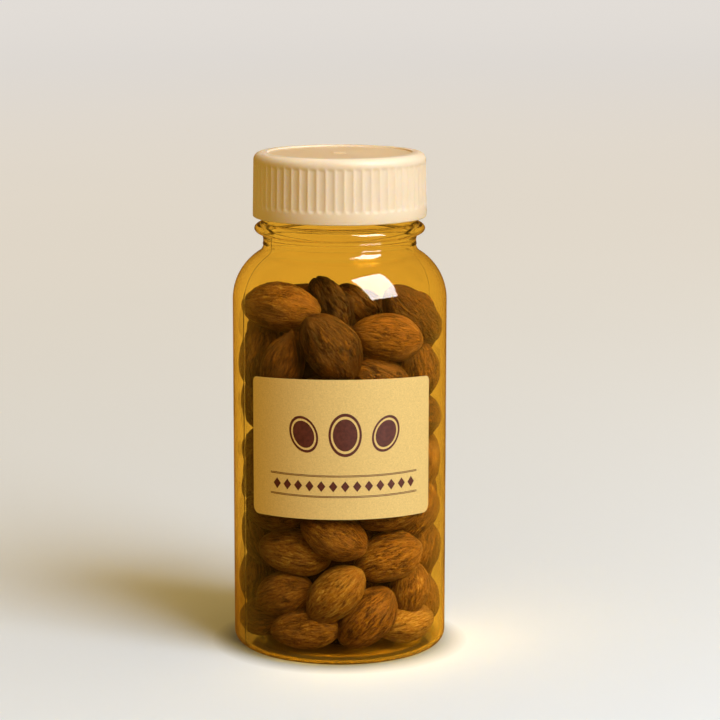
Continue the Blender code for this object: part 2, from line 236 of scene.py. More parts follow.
def turnedCopiesTree():
    tree = bpy.data.node_groups.new("turnedCopies", "GeometryNodeTree")
    sockets = {"Geometry": "Geometry", "Count": "Int", "First Angle": "Float", "Angle Step": "Float",
               "Merge Distance": "Float", "Material": "Material"}
    for name, kind in sockets.items():
        tree.interface.new_socket(name, in_out="INPUT", socket_type="NodeSocket" + kind)
    tree.interface.new_socket("Geometry", in_out="OUTPUT", socket_type="NodeSocketGeometry")
    given = addNode(tree, "NodeGroupInput", -900, 0)
    result = addNode(tree, "NodeGroupOutput", 1100, 0)
    points = addNode(tree, "GeometryNodePoints", -600, 200)
    index = addNode(tree, "GeometryNodeInputIndex", -900, -250)
    angle = addNode(tree, "ShaderNodeMath", -600, -200, operation="MULTIPLY_ADD")
    euler = addNode(tree, "ShaderNodeCombineXYZ", -400, -200)
    turn = addNode(tree, "FunctionNodeEulerToRotation", -200, -200)
    copies = addNode(tree, "GeometryNodeInstanceOnPoints", 0, 0)
    real = addNode(tree, "GeometryNodeRealizeInstances", 200, 0)
    merge = addNode(tree, "GeometryNodeMergeByDistance", 400, 0)
    soft = addNode(tree, "GeometryNodeSetShadeSmooth", 600, 0)
    paint = addNode(tree, "GeometryNodeSetMaterial", 850, 0)
    link = tree.links.new
    link(given.outputs["Count"], points.inputs["Count"])
    link(index.outputs["Index"], angle.inputs[0])
    link(given.outputs["Angle Step"], angle.inputs[1])
    link(given.outputs["First Angle"], angle.inputs[2])
    link(angle.outputs["Value"], euler.inputs["Z"])
    link(euler.outputs["Vector"], turn.inputs["Euler"])
    link(points.outputs[0], copies.inputs["Points"])
    link(given.outputs["Geometry"], copies.inputs["Instance"])
    link(turn.outputs["Rotation"], copies.inputs["Rotation"])
    link(copies.outputs["Instances"], real.inputs["Geometry"])
    link(real.outputs["Geometry"], merge.inputs["Geometry"])
    link(given.outputs["Merge Distance"], merge.inputs["Distance"])
    link(merge.outputs["Geometry"], soft.inputs["Geometry"])
    link(soft.outputs["Geometry"], paint.inputs["Geometry"])
    link(given.outputs["Material"], paint.inputs["Material"])
    link(paint.outputs["Geometry"], result.inputs["Geometry"])
    return tree


def turnedCopies(piece, tree, values):
    modifier = piece.modifiers.new("turned copies", "NODES")
    modifier.node_group = tree
    for socket in tree.interface.items_tree:
        if socket.in_out == "INPUT" and socket.name in values:
            modifier[socket.identifier] = values[socket.name]
    bpy.context.view_layer.update()
    evaluated = piece.evaluated_get(bpy.context.evaluated_depsgraph_get())
    mesh = bpy.data.meshes.new_from_object(evaluated)
    piece.modifiers.remove(modifier)
    seed = piece.data
    piece.data = mesh
    mesh.name = piece.name
    bpy.data.meshes.remove(seed)
    return piece


# The jar: one turned wall of clear plastic with a fine mould seam down each side

jar = {
    "wall": 1.15 * mm,
    "footInner": 26.5 * mm,
    "footRound": 0.3 * mm,
    "footFlat": 0.8 * mm,
    "baseSteps": ((3.0 * mm, 0.75), (1.2 * mm, 0.4)),  # in from the foot ring, and share of the push-up
    "heel": 4.0 * mm,
    "pushUp": 1.5 * mm,
    "shoulderStart": 113.0 * mm,
    "shoulderRadius": 18.0 * mm,
    "shoulderSweep": math.radians(58.0),
    "neckRadius": 24.5 * mm,
    "beadRadius": 27.35 * mm,
    "beadLow": 133.9 * mm,
    "beadHigh": 137.9 * mm,
    "beadSharp": 1.25,
    "beadSkin": (0.2 * mm, 0.45 * mm),
    "beadSteps": 14,
    "finishRadius": 25.1 * mm,
    "lipRound": 0.5 * mm,
    "lipWall": (1.4 * mm, 1.6 * mm, 1.7 * mm),
    "lipDeep": 8.0 * mm,
    "neckSteps": 44,
    "neckRings": ((133.1, 0.16, 0.30), (130.2, 0.34, 0.95), (128.5, 0.14, 0.30)),  # height, rise, width in mm
    "columns": 240,
    "seamAngles": (math.radians(-62.0), math.radians(118.0)),
    "seamSteps": (-0.8, -0.45, -0.25, -0.1, 0.1, 0.25, 0.45, 0.8),
    "seamGap": math.radians(0.9),
    "seamFoot": 1.5 * mm,
    "seamHeight": 0.06 * mm,
    "seamWidth": 0.17 * mm,
    "tint": (0.93, 0.48, 0.037),
    "edgeTint": (0.92, 0.36, 0.020),
    "edgeSlant": (0.55, 0.92),
    "innerTint": (0.99, 0.97, 0.93),
    "gloss": (0.5, 0.5, 0.5),
    "innerGloss": (0.12, 0.12, 0.12),
    "shadowTint": (0.975, 0.90, 0.72),
}


def beadCurve(radius, reach, halfHigh, start):
    # The bead's rounded profile, from below when start is negative and from above when it is positive
    middle = 0.5 * (jar["beadLow"] + jar["beadHigh"])
    points = []
    for i in range(jar["beadSteps"] + 1):
        angle = start - 2.0 * start * i / jar["beadSteps"]
        out = reach * max(0.0, math.cos(angle)) ** jar["beadSharp"]
        points.append((radius + out, middle + halfHigh * math.sin(angle)))
    return points


def jarOuterSkin(turnZ, turnRadius):
    # From the base's middle out over the foot ring and up to the lip
    j = jar
    skin = [(0.0, j["pushUp"]), (0.5 * j["footInner"], 0.95 * j["pushUp"])]
    skin += [(j["footInner"] - inset, share * j["pushUp"]) for inset, share in j["baseSteps"]]
    skin += [(j["footInner"] - j["footRound"], 0.06 * mm), (j["footInner"] + j["footRound"], 0.0)]
    skin += [(bodyRadius - j["heel"] - j["footFlat"], 0.0)]
    skin += arc(bodyRadius - j["heel"], j["heel"], j["heel"], -math.pi / 2, 0.0, 12)
    skin += [(bodyRadius, j["shoulderStart"] * t) for t in (0.2, 0.4, 0.6, 0.8)]
    shoulderMiddle = bodyRadius - j["shoulderRadius"]
    skin += arc(shoulderMiddle, j["shoulderStart"], j["shoulderRadius"], 0.0, j["shoulderSweep"], 20)
    skin += arc(j["neckRadius"] + turnRadius, turnZ, turnRadius, math.pi + j["shoulderSweep"], math.pi, 8)[1:]
    for i in range(1, j["neckSteps"]):
        z = turnZ + (j["beadLow"] - turnZ) * i / j["neckSteps"]
        lift = sum(rise * math.exp(-((z / mm - ringZ) / wide) ** 2) for ringZ, rise, wide in j["neckRings"])
        skin.append((j["neckRadius"] + lift * mm, z))
    reach = j["beadRadius"] - j["neckRadius"]
    skin += beadCurve(j["neckRadius"], reach, 0.5 * (j["beadHigh"] - j["beadLow"]), -math.pi / 2)
    skin += [(j["finishRadius"], j["beadHigh"] + 0.3 * mm), (j["finishRadius"], jarHigh.z - j["lipRound"])]
    lipMiddle = j["finishRadius"] - j["lipRound"]
    return skin + arc(lipMiddle, jarHigh.z - j["lipRound"], j["lipRound"], 0.4, math.pi / 2, 3)


def jarInnerSkin(turnZ, turnRadius):
    # Back down from the lip, one wall further in; the bead is hollow
    j = jar
    finish, neck = j["finishRadius"], j["neckRadius"] - j["wall"]
    skin = [(finish - j["lipWall"][0], jarHigh.z), (finish - j["lipWall"][1], jarHigh.z - 0.3 * mm)]
    skin += [(finish - j["lipWall"][2], jarHigh.z - j["lipDeep"]), (neck, j["beadHigh"] + 0.6 * mm)]
    sideSkin, endSkin = j["beadSkin"]
    reach = j["beadRadius"] - j["neckRadius"] - sideSkin
    skin += beadCurve(neck, reach, 0.5 * (j["beadHigh"] - j["beadLow"]) - endSkin, math.pi / 2)
    skin += [(neck, j["beadLow"] - 0.6 * mm), (neck, turnZ)]
    turnMiddle = j["neckRadius"] + turnRadius
    skin += arc(turnMiddle, turnZ, turnRadius + j["wall"], math.pi, math.pi + j["shoulderSweep"], 8)[1:]
    shoulder, shoulderMiddle = j["shoulderRadius"] - j["wall"], bodyRadius - j["shoulderRadius"]
    skin += arc(shoulderMiddle, j["shoulderStart"], shoulder, j["shoulderSweep"], 0.0, 20)[1:]
    innerRadius = bodyRadius - j["wall"]
    skin += [(innerRadius, j["shoulderStart"] * t) for t in (0.8, 0.6, 0.4, 0.2)]
    heel = j["heel"] - j["wall"]
    skin += arc(innerRadius - heel, j["heel"], heel, 0.0, -math.pi / 2, 10)
    for inset, share in reversed(j["baseSteps"]):
        skin.append((j["footInner"] - inset, share * j["pushUp"] + j["wall"]))
    return skin + [(0.0, j["pushUp"] + j["wall"])]


def jarOutline():
    # The shoulder's arc turns out into the neck by a smaller one that both skins share
    j = jar
    shoulderEnd = bodyRadius - j["shoulderRadius"] + j["shoulderRadius"] * math.cos(j["shoulderSweep"])
    turnRadius = (shoulderEnd - j["neckRadius"]) / (1.0 - math.cos(j["shoulderSweep"]))
    turnZ = j["shoulderStart"] + (j["shoulderRadius"] + turnRadius) * math.sin(j["shoulderSweep"])
    return jarOuterSkin(turnZ, turnRadius), jarInnerSkin(turnZ, turnRadius)


def jarAzimuths():
    azimuths = [math.tau * i / jar["columns"] - math.pi for i in range(jar["columns"])]
    for seam in jar["seamAngles"]:
        azimuths = [a for a in azimuths if abs(math.remainder(a - seam, math.tau)) > jar["seamGap"]]
        azimuths += [seam + math.radians(d) for d in jar["seamSteps"]]
    return sorted(azimuths)


def seamRise(azimuth, radius):
    aways = [math.remainder(azimuth - seam, math.tau) * radius for seam in jar["seamAngles"]]
    return sum(jar["seamHeight"] * math.exp(-(away / jar["seamWidth"]) ** 2) for away in aways)


def makeJar():
    outer, inner = jarOutline()
    azimuths = jarAzimuths()
    verts, rings = [], []
    for k, (r, z) in enumerate(outer + inner):
        if r == 0.0:
            rings.append(addRow(verts, [(0.0, 0.0, z)]))
            continue
        onBody = k < len(outer) and jar["seamFoot"] < z < jar["beadLow"] and r > jar["neckRadius"] - mm
        points = [turnedPoint(r + seamRise(a, r) if onBody else r, a, z) for a in azimuths]
        rings.append(addRow(verts, points))
    piece = addPiece("jar_shell", verts, allBands(rings), amberPlastic(), sharpAngle=50)
    skin = piece.data.attributes.new("innerSkin", "FLOAT", "POINT")
    outerCount = sum(len(ring) for ring in rings[:len(outer)])
    skin.data.foreach_set("value", [0.0] * outerCount + [1.0] * (len(verts) - outerCount))
    return piece


def amberPlastic():
    material, tree, shader = startMaterial("amberPlastic", {
        "Transmission Weight": 1.0, "IOR": 1.5})
    coords = objectCoords(tree)
    cloud = noiseOn(tree, coords, 28.0, 3.0, -700, 200)
    dark, light = shadesOf(jar["tint"], 0.96, 1.04)
    tint = rampOn(tree, cloud, [(0.3, dark), (0.7, light)], -500, 200)
    # Near its outline the wall is looked through the long way, so it is deeper in colour there
    slant = addNode(tree, "ShaderNodeLayerWeight", -900, 450, {"Blend": 0.5})
    edge = rangeOn(tree, slant.outputs["Facing"], 0.0, 1.0, -700, 450, *jar["edgeSlant"])
    tint = mixOn(tree, edge, tint, jar["edgeTint"], -250, 200)
    # The outer skin holds the colour, so that the wall's edge is as deep as the two walls seen through
    skin = addNode(tree, "ShaderNodeAttribute", -300, 450, attribute_name="innerSkin")
    smear = noiseOn(tree, coords, 160.0, 4.0, -700, -100)
    wave = noiseOn(tree, coords, 60.0, 1.0, -700, -350)
    feedShader(tree, shader, {
        "Base Color": mixOn(tree, skin.outputs["Fac"], tint, jar["innerTint"], 0, 250),
        "Specular Tint": mixOn(tree, skin.outputs["Fac"], jar["gloss"], jar["innerGloss"], 0, 500),
        "Roughness": rangeOn(tree, smear, 0.004, 0.022, -300, -100),
        "Normal": bumpOn(tree, wave, 0.15, 0.25 * mm, 300, -350)})
    path = addNode(tree, "ShaderNodeLightPath", 600, 400)
    clear = addNode(tree, "ShaderNodeBsdfTransparent", 800, 250, {"Color": (*jar["shadowTint"], 1.0)})
    mixSurface(tree, path.outputs["Is Shadow Ray"], shader, clear, 1000, 150)
    return material


jarShell = makeJar()
ridesOnJar(jarShell, "clear_plastic", "jar")
print("jar made")


# The cap: one rib's sector of the whole wall, turned into sixty by the node tree

cap = {
    "ribCount": 60,
    "radius": 27.8 * mm,
    "topRadius": 27.55 * mm,
    "wall": 1.4 * mm,
    "topThickness": 1.4 * mm,
    "panelRadius": 23.1 * mm,
    "panelDepth": 0.55 * mm,
    "skirtHigh": 142.7 * mm,
    "ribHigh": 157.8 * mm,
    "grooveShare": 0.88,
    "grooveDepth": 0.24 * mm,
    "grooveRoundness": 2.4,
    "scallop": 0.9 * mm,
    "shares": (-0.5, -0.45, -0.42, -0.37, -0.30, -0.20, -0.08, 0.08, 0.20, 0.30, 0.37, 0.42, 0.45, 0.5),
    "footFade": 1.5 * mm,
    "topFade": 1.3 * mm,
    "rimRound": 0.4 * mm,
    "ceilingRound": 0.6 * mm,
    "panelRound": 0.35 * mm,
    "panelSteps": (18.0 * mm, 12.0 * mm, 7.0 * mm, 4.0 * mm, 2.6 * mm),
    "gateRing": 1.9 * mm,
    "gateHeight": 0.16 * mm,
    "colour": (0.77, 0.66, 0.52),
    # painted shade: the top panel's darker, yellower tone
    "panelShadeTone": (0.95, 0.84, 0.68),
}


def capOutline():
    # Inner skin from the ceiling's middle down to the rim, then up the outside and in over the top
    c = cap
    low, high = capLow.z, capHigh.z
    innerRadius = c["radius"] - c["wall"]
    ceiling = high - c["panelDepth"] - c["topThickness"]
    points = [(0.0, ceiling), (0.6 * innerRadius, ceiling), (innerRadius - c["ceilingRound"], ceiling)]
    points += [(innerRadius, ceiling - c["ceilingRound"]), (innerRadius, low + 0.5 * mm)]
    points += [(innerRadius + 0.15 * mm, low + 0.12 * mm), (innerRadius + c["rimRound"], low)]
    points += arc(c["radius"] - c["rimRound"], low + c["rimRound"], c["rimRound"], -math.pi / 2, 0.0, 4)
    span = c["ribHigh"] - c["skirtHigh"]
    # Fine steps at both ends, where the grooves run out, and a few between
    steps = [0.0, 0.5] + [0.1 * i for i in range(8, 42)]
    ends = [s * 0.5 * mm for s in steps]
    rises = ends + [span * t for t in (0.2, 0.35, 0.5, 0.65, 0.8)] + [span - e for e in reversed(ends)]
    for rise in sorted(rises):
        share = rise / span
        points.append((c["radius"] + (c["topRadius"] - c["radius"]) * share, c["skirtHigh"] + rise))
    rim = high - c["ribHigh"]
    points += arc(c["topRadius"] - rim, c["ribHigh"], rim, 0.0, math.pi / 2, 12)[1:]
    panelZ = high - c["panelDepth"]
    panelTurn = c["panelRound"]
    points += arc(c["panelRadius"] + panelTurn, high - panelTurn, panelTurn, math.pi / 2, math.pi, 4)
    points += [(c["panelRadius"] - 0.05 * mm, panelZ + 0.06 * mm), (c["panelRadius"] - 0.3 * mm, panelZ)]
    points += [(r, panelZ) for r in c["panelSteps"]]
    for i in range(9):
        bulge = math.sin(math.pi * i / 8)
        points.append((c["gateRing"] + (4 - i) * 0.08 * mm, panelZ + c["gateHeight"] * bulge))
    points += [(0.75 * mm, panelZ), (0.55 * mm, panelZ + 0.12 * mm), (0.0, panelZ + 0.16 * mm)]
    return points


def grooveAt(across, z):
    # across runs from -0.5 to 0.5 over one pitch, with the groove's middle at 0 and half a rib at each end
    c = cap
    out = min(1.0, abs(across) / (0.5 * c["grooveShare"]))
    side = 1.0 - out ** c["grooveRoundness"]
    foot = smooth((z - c["skirtHigh"] - 0.2 * mm - c["scallop"] * out ** 3) / c["footFade"])
    top = smooth((c["ribHigh"] - 0.15 * mm - z) / c["topFade"])
    return c["grooveDepth"] * side * foot * top


def makeCap(tree):
    pitch = math.tau / cap["ribCount"]
    verts, rows = [], []
    for r, z in capOutline():
        if r == 0.0:
            rows.append(addRow(verts, [(0.0, 0.0, z)]))
            continue
        onWall = r > cap["topRadius"] - 0.5 * mm
        deeps = [grooveAt(share, z) if onWall else 0.0 for share in cap["shares"]]
        points = [turnedPoint(r - deep, share * pitch, z) for deep, share in zip(deeps, cap["shares"])]
        rows.append(addRow(verts, points))
    plastic = creamPlastic()
    piece = addPiece("cap_ribbed", verts, allBands(rows, closed=False), plastic)
    return turnedCopies(piece, tree, {
        "Count": cap["ribCount"], "First Angle": 0.0, "Angle Step": pitch,
        "Merge Distance": 0.002 * mm, "Material": plastic})


def creamPlastic():
    material, tree, shader = startMaterial("creamPlastic", {
        "IOR": 1.49, "Specular IOR Level": 0.14, "Subsurface Weight": 0.6,
        "Subsurface Radius": (1.0, 0.7, 0.4), "Subsurface Scale": 0.9 * mm})
    coords = objectCoords(tree)
    cloud = noiseOn(tree, coords, 55.0, 4.0, -700, 250)
    grain = noiseOn(tree, coords, 2600.0, 2.0, -700, 0)
    both = addShare(tree, grain, 0.25, cloud, -480, 120)
    dark, light = shadesOf(cap["colour"], 0.95, 1.05)
    cream = rampOn(tree, both, [(0.35, dark), (0.9, light)], -260, 200)
    # Painted shade: the recessed panel on top is painted a little darker and yellower than the rest
    flat = addNode(tree, "ShaderNodeVectorMath", -700, 500, operation="LENGTH")
    tree.links.new(scaled(tree, coords, (1.0, 1.0, 0.0), -900, 500), flat.inputs[0])
    onPanel = rangeOn(tree, flat.outputs["Value"], 1.0, 0.0, -480, 500,
                      cap["panelRadius"] - 0.3 * mm, cap["panelRadius"] + 0.3 * mm)
    feedShader(tree, shader, {
        "Base Color": mixOn(tree, onPanel, cream, cap["panelShadeTone"], 50, 300, blend="MULTIPLY"),
        "Roughness": rangeOn(tree, cloud, 0.30, 0.42, -260, -80),
        "Normal": bumpOn(tree, grain, 0.12, 0.03 * mm, 300, -300)})
    return material


copiesTree = turnedCopiesTree()
capPiece = makeCap(copiesTree)
ridesOnJar(capPiece, "cap_plastic", "cap")
print("cap made")


# The label: a paper wrap on the front, with rounder corners below, and its print as thin raised shapes

label = {
    "halfAngle": math.radians(53.3),
    "turn": math.radians(1.2),
    "gap": 0.05 * mm,
    "thickness": 0.14 * mm,
    "topDroop": 1.15 * mm,
    "bottomDroop": 0.6 * mm,
    "topCorner": 1.5 * mm,
    "bottomCorner": 2.6 * mm,
    "paper": (0.74, 0.55, 0.22),
    "ink": (0.075, 0.012, 0.004),
    "inkThickness": 0.03 * mm,
    "inkUnder": 0.02 * mm,
    "middle": 1.0 * mm,
    "columns": 96,
    "cornerSteps": 8,
    "rows": 24,
    "nutsHigh": 75.0 * mm,
    "nutStep": 13.2 * mm,
    "middleNut": (6.9 * mm, 5.2 * mm),
    "sideNut": (6.0 * mm, 4.5 * mm),
    "nutLean": 24.0,
    "rowHigh": 58.6 * mm,
    "ruleAway": 3.3 * mm,
    "rule": (25.0 * mm, 0.28 * mm),
    "ruleSteps": 60,
    "diamond": (1.35 * mm, 1.75 * mm),
    "diamondCount": 13,
    "diamondStep": 3.75 * mm,
}


def onLabel(along, z, lift):
    # A point at an arc length along the paper, lifted off the jar's wall
    return turnedPoint(bodyRadius + lift, along / bodyRadius + label["turn"], z)


def makeLabelPaper():
    b = label
    halfLength = b["halfAngle"] * bodyRadius
    turns = [math.pi / 2 * i / b["cornerSteps"] for i in range(b["cornerSteps"] + 1)]
    left = [-halfLength + b["bottomCorner"] * (1.0 - math.cos(turn)) for turn in turns]
    middle = [left[-1] * (1.0 - 2.0 * i / b["columns"]) for i in range(1, b["columns"])]
    verts, front, back = [], [], []
    for along in left + middle + [-s for s in reversed(left)]:
        into = abs(along) - halfLength
        lowIn = max(0.0, into + b["bottomCorner"])
        highIn = max(0.0, into + b["topCorner"])
        low = labelLow.z + b["bottomCorner"] - math.sqrt(max(0.0, b["bottomCorner"] ** 2 - lowIn ** 2))
        high = labelHigh.z - b["topCorner"] + math.sqrt(max(0.0, b["topCorner"] ** 2 - highIn ** 2))
        outerRow, innerRow = [], []
        toEnd = (along / halfLength) ** 2
        low -= b["bottomDroop"] * toEnd
        high -= b["topDroop"] * toEnd
        for i in range(b["rows"] + 1):
            z = low + (high - low) * i / b["rows"]
            outerRow.append(len(verts))
            verts.append(onLabel(along, z, b["gap"] + b["thickness"]))
            innerRow.append(len(verts))
            verts.append(onLabel(along, z, b["gap"]))
        front.append(outerRow)
        back.append(innerRow)
    faces = gridShell(front, back)
    return addPiece("label_paper", verts, faces, labelPaper(), sharpAngle=40)


def gridShell(front, back):
    # Closes a thin slab from two grids of the same size: columns run left to right, rows upwards
    faces = []
    lastColumn, lastRow = len(front) - 1, len(front[0]) - 1
    for i in range(lastColumn):
        for j in range(lastRow):
            faces.append((front[i][j], front[i + 1][j], front[i + 1][j + 1], front[i][j + 1]))
            faces.append((back[i][j], back[i][j + 1], back[i + 1][j + 1], back[i + 1][j]))
        faces.append((front[i][0], back[i][0], back[i + 1][0], front[i + 1][0]))
        faces.append((front[i][lastRow], front[i + 1][lastRow], back[i + 1][lastRow], back[i][lastRow]))
    left, right = (front[0], back[0]), (front[lastColumn], back[lastColumn])
    for j in range(lastRow):
        faces.append((left[0][j], left[0][j + 1], left[1][j + 1], left[1][j]))
        faces.append((right[0][j], right[1][j], right[1][j + 1], right[0][j + 1]))
    return faces


def labelPaper():
    material, tree, shader = startMaterial("labelPaper", {
        "IOR": 1.45, "Specular IOR Level": 0.08, "Sheen Weight": 0.05, "Sheen Roughness": 0.5})
    coords = objectCoords(tree)
    speck = noiseOn(tree, coords, 2300.0, 2.0, -700, 300, rough=0.7)
    along = scaled(tree, coords, (1.0, 1.0, 2.2), -950, 0)
    fibre = noiseOn(tree, along, 1300.0, 3.0, -700, 0, distortion=0.5)
    both = addShare(tree, fibre, 0.4, speck, -480, 150)
    dark, light = shadesOf(label["paper"], 0.86, 1.1)
    feedShader(tree, shader, {
        "Base Color": rampOn(tree, both, [(0.45, dark), (0.95, light)], -260, 250),
        "Roughness": rangeOn(tree, fibre, 0.42, 0.60, -260, -50),
        "Normal": bumpOn(tree, both, 0.2, 0.05 * mm, 300, -300)})
    return material


def labelInk():
    material, tree, shader = startMaterial("labelInk", {"IOR": 1.5, "Specular IOR Level": 0.4})
    coords = objectCoords(tree)
    press = noiseOn(tree, coords, 900.0, 3.0, -600, 100)
    dark, light = shadesOf(label["ink"], 1.0, 1.7)
    feedShader(tree, shader, {
        "Base Color": rampOn(tree, press, [(0.35, dark), (0.75, light)], -200, 100),
        "Roughness": rangeOn(tree, press, 0.4, 0.6, -200, -150)})
    return material


def inkPatch(verts, faces, outlines):
    # A thin slab between nested outlines of one point count; a first outline of one point is a disc's middle
    base = label["gap"] + label["thickness"]
    layers = []
    for lift in (base + label["inkThickness"], base - label["inkUnder"]):
        layers.append([addRow(verts, [onLabel(along, z, lift) for along, z in line]) for line in outlines])
    top, under = layers
    for a, b in zip(top, top[1:]):
        faces += [face[::-1] for face in bandFaces(a, b)] if len(a) > 1 else bandFaces(a, b)
    for a, b in zip(under, under[1:]):
        faces += bandFaces(a, b) if len(a) > 1 else [face[::-1] for face in bandFaces(a, b)]
    faces += bandFaces(under[-1], top[-1])
    if len(top[0]) > 1:
        faces += [face[::-1] for face in bandFaces(under[0], top[0])]


def ovalLine(along, z, halfWide, halfHigh, lean, count=48):
    line = []
    for i in range(count):
        a = math.tau * i / count
        x, y = halfWide * math.cos(a), halfHigh * math.sin(a)
        turnedX = x * math.cos(lean) - y * math.sin(lean)
        turnedY = x * math.sin(lean) + y * math.cos(lean)
        line.append((along + turnedX, z + turnedY))
    return line


def nestedOvals(along, z, halfWide, halfHigh, lean, shares):
    lines = [ovalLine(along, z, halfWide * s, halfHigh * s, lean) for s in shares if s > 0.0]
    return [[(along, z)]] + lines if shares[0] == 0.0 else lines


def makeCutNutsAndRules(ink):
    # Three cut nuts, each a ring round a filled oval, and the two rules of the row below
    b = label
    verts, faces = [], []
    for side in (-1, 0, 1):
        along = b["middle"] + side * b["nutStep"]
        lean = math.radians(90.0 - b["nutLean"] * side)
        wide, high = b["middleNut"] if side == 0 else b["sideNut"]
        for shares in ((0.86, 0.93, 1.0), (0.0, 0.25, 0.5, 0.74)):
            inkPatch(verts, faces, nestedOvals(along, b["nutsHigh"], wide, high, lean, shares))
    for away in (-b["ruleAway"], b["ruleAway"]):
        inkPatch(verts, faces, ruleOutlines(b["middle"], b["rowHigh"] + away, *b["rule"]))
    return addPiece("label_print", verts, faces, ink, sharpAngle=40)


def makeDiamondRow(ink, tree):
    b = label
    verts, faces = [], []
    outer = diamondLine(*b["diamond"])
    lines = [[(along * s, b["rowHigh"] + z * s) for along, z in outer] for s in (0.5, 1.0)]
    inkPatch(verts, faces, [[(0.0, b["rowHigh"])]] + lines)
    row = addPiece("label_print_row", verts, faces, ink)
    step = b["diamondStep"] / bodyRadius
    start = b["middle"] / bodyRadius - 0.5 * (b["diamondCount"] - 1) * step
    turnedCopies(row, tree, {
        "Count": b["diamondCount"], "First Angle": start, "Angle Step": step,
        "Merge Distance": 0.001 * mm, "Material": ink})
    row.data.set_sharp_from_angle(angle=math.radians(40))
    return row


def diamondLine(halfWide, halfHigh):
    corners = [(halfWide, 0.0), (0.0, halfHigh), (-halfWide, 0.0), (0.0, -halfHigh)]
    line = []
    for (x0, z0), (x1, z1) in zip(corners, corners[1:] + corners[:1]):
        line += [(x0 + (x1 - x0) * t / 4, z0 + (z1 - z0) * t / 4) for t in range(4)]
    return line


def ruleOutlines(along, z, halfLong, halfHigh):
    # A long thin bar as rings round its own middle line, so that it can bend with the paper
    steps = label["ruleSteps"]
    ring = [(along - halfLong + 2 * halfLong * i / steps, z - halfHigh) for i in range(steps + 1)]
    ring += [(along + halfLong - 2 * halfLong * i / steps, z + halfHigh) for i in range(steps + 1)]
    inner = [(x, z + (y - z) * 0.3) for x, y in ring]
    return [inner, ring]


paperPiece = makeLabelPaper()
ridesOnJar(paperPiece, "label_paper", "label")
inkMaterial = labelInk()
for printPiece in (makeCutNutsAndRules(inkMaterial), makeDiamondRow(inkMaterial, copiesTree)):
    ridesOnJar(printPiece, "label_paper")
print("label made")


# The heap: front nuts have their places, hidden ones settle round them, and each that may show gets a skin

heap = {
    "spaceRadius": 33.1 * mm,
    "floor": 3.4 * mm,
    "high": 119.5 * mm,
    "hiddenHigh": 109.0 * mm,
    "hiddenCount": 66,
    "hiddenLength": (20.0, 24.5),  # in mm, and so are the next three
    "hiddenWidth": (13.6, 16.0),
    "innerRadius": (3.0, 9.0),
    "startBehind": (-2.0, 14.0),
    "startNarrow": 0.6,
    "startTilt": (-75.0, 75.0),
    "startTurn": (-25.0, 25.0),
    "halfNut": 7.0 * mm,
    "labelInset": (2.0 * mm, 4.5 * mm),
    "settledInset": 2.5 * mm,
    "frontEdge": -1.0 * mm,
    "wallRadius": 25.0 * mm,
    "goldenAngle": math.radians(137.508),
    "flatness": 0.92,
    "labelLow": 48.0 * mm,
    "labelHigh": 92.5 * mm,
    "settleSteps": 140,
    "looseSteps": 80,
    "looseHold": 0.35,
    "firmHold": 0.9,
    "depthHold": 0.12,
    "pairReach": 26.0 * mm,
    "push": 0.7,
    "pushLimit": 2.0 * mm,
    "frontShare": 0.23,
    "settleSink": 0.12 * mm,
    "settleOutward": 0.5 * mm,
    "settleBackward": 1.2 * mm,
    "middleBall": 0.47,
    "endBall": 0.36,
    "endBallIn": 0.37,
    "facets": (4, 6),
    "facetPoint": 0.16,
    "facetSpare": 1.05,
    "wallClearance": 0.3 * mm,
    "wallReach": 27.0 * mm,
    "heelReach": 30.0 * mm,
    "topShown": 98.0 * mm,
    "skinClearance": 0.08 * mm,
    "floorClearance": 0.15 * mm,
    "frontGrid": (132, 78),
    "hiddenGrid": (64, 38),
    "seed": 7,
}

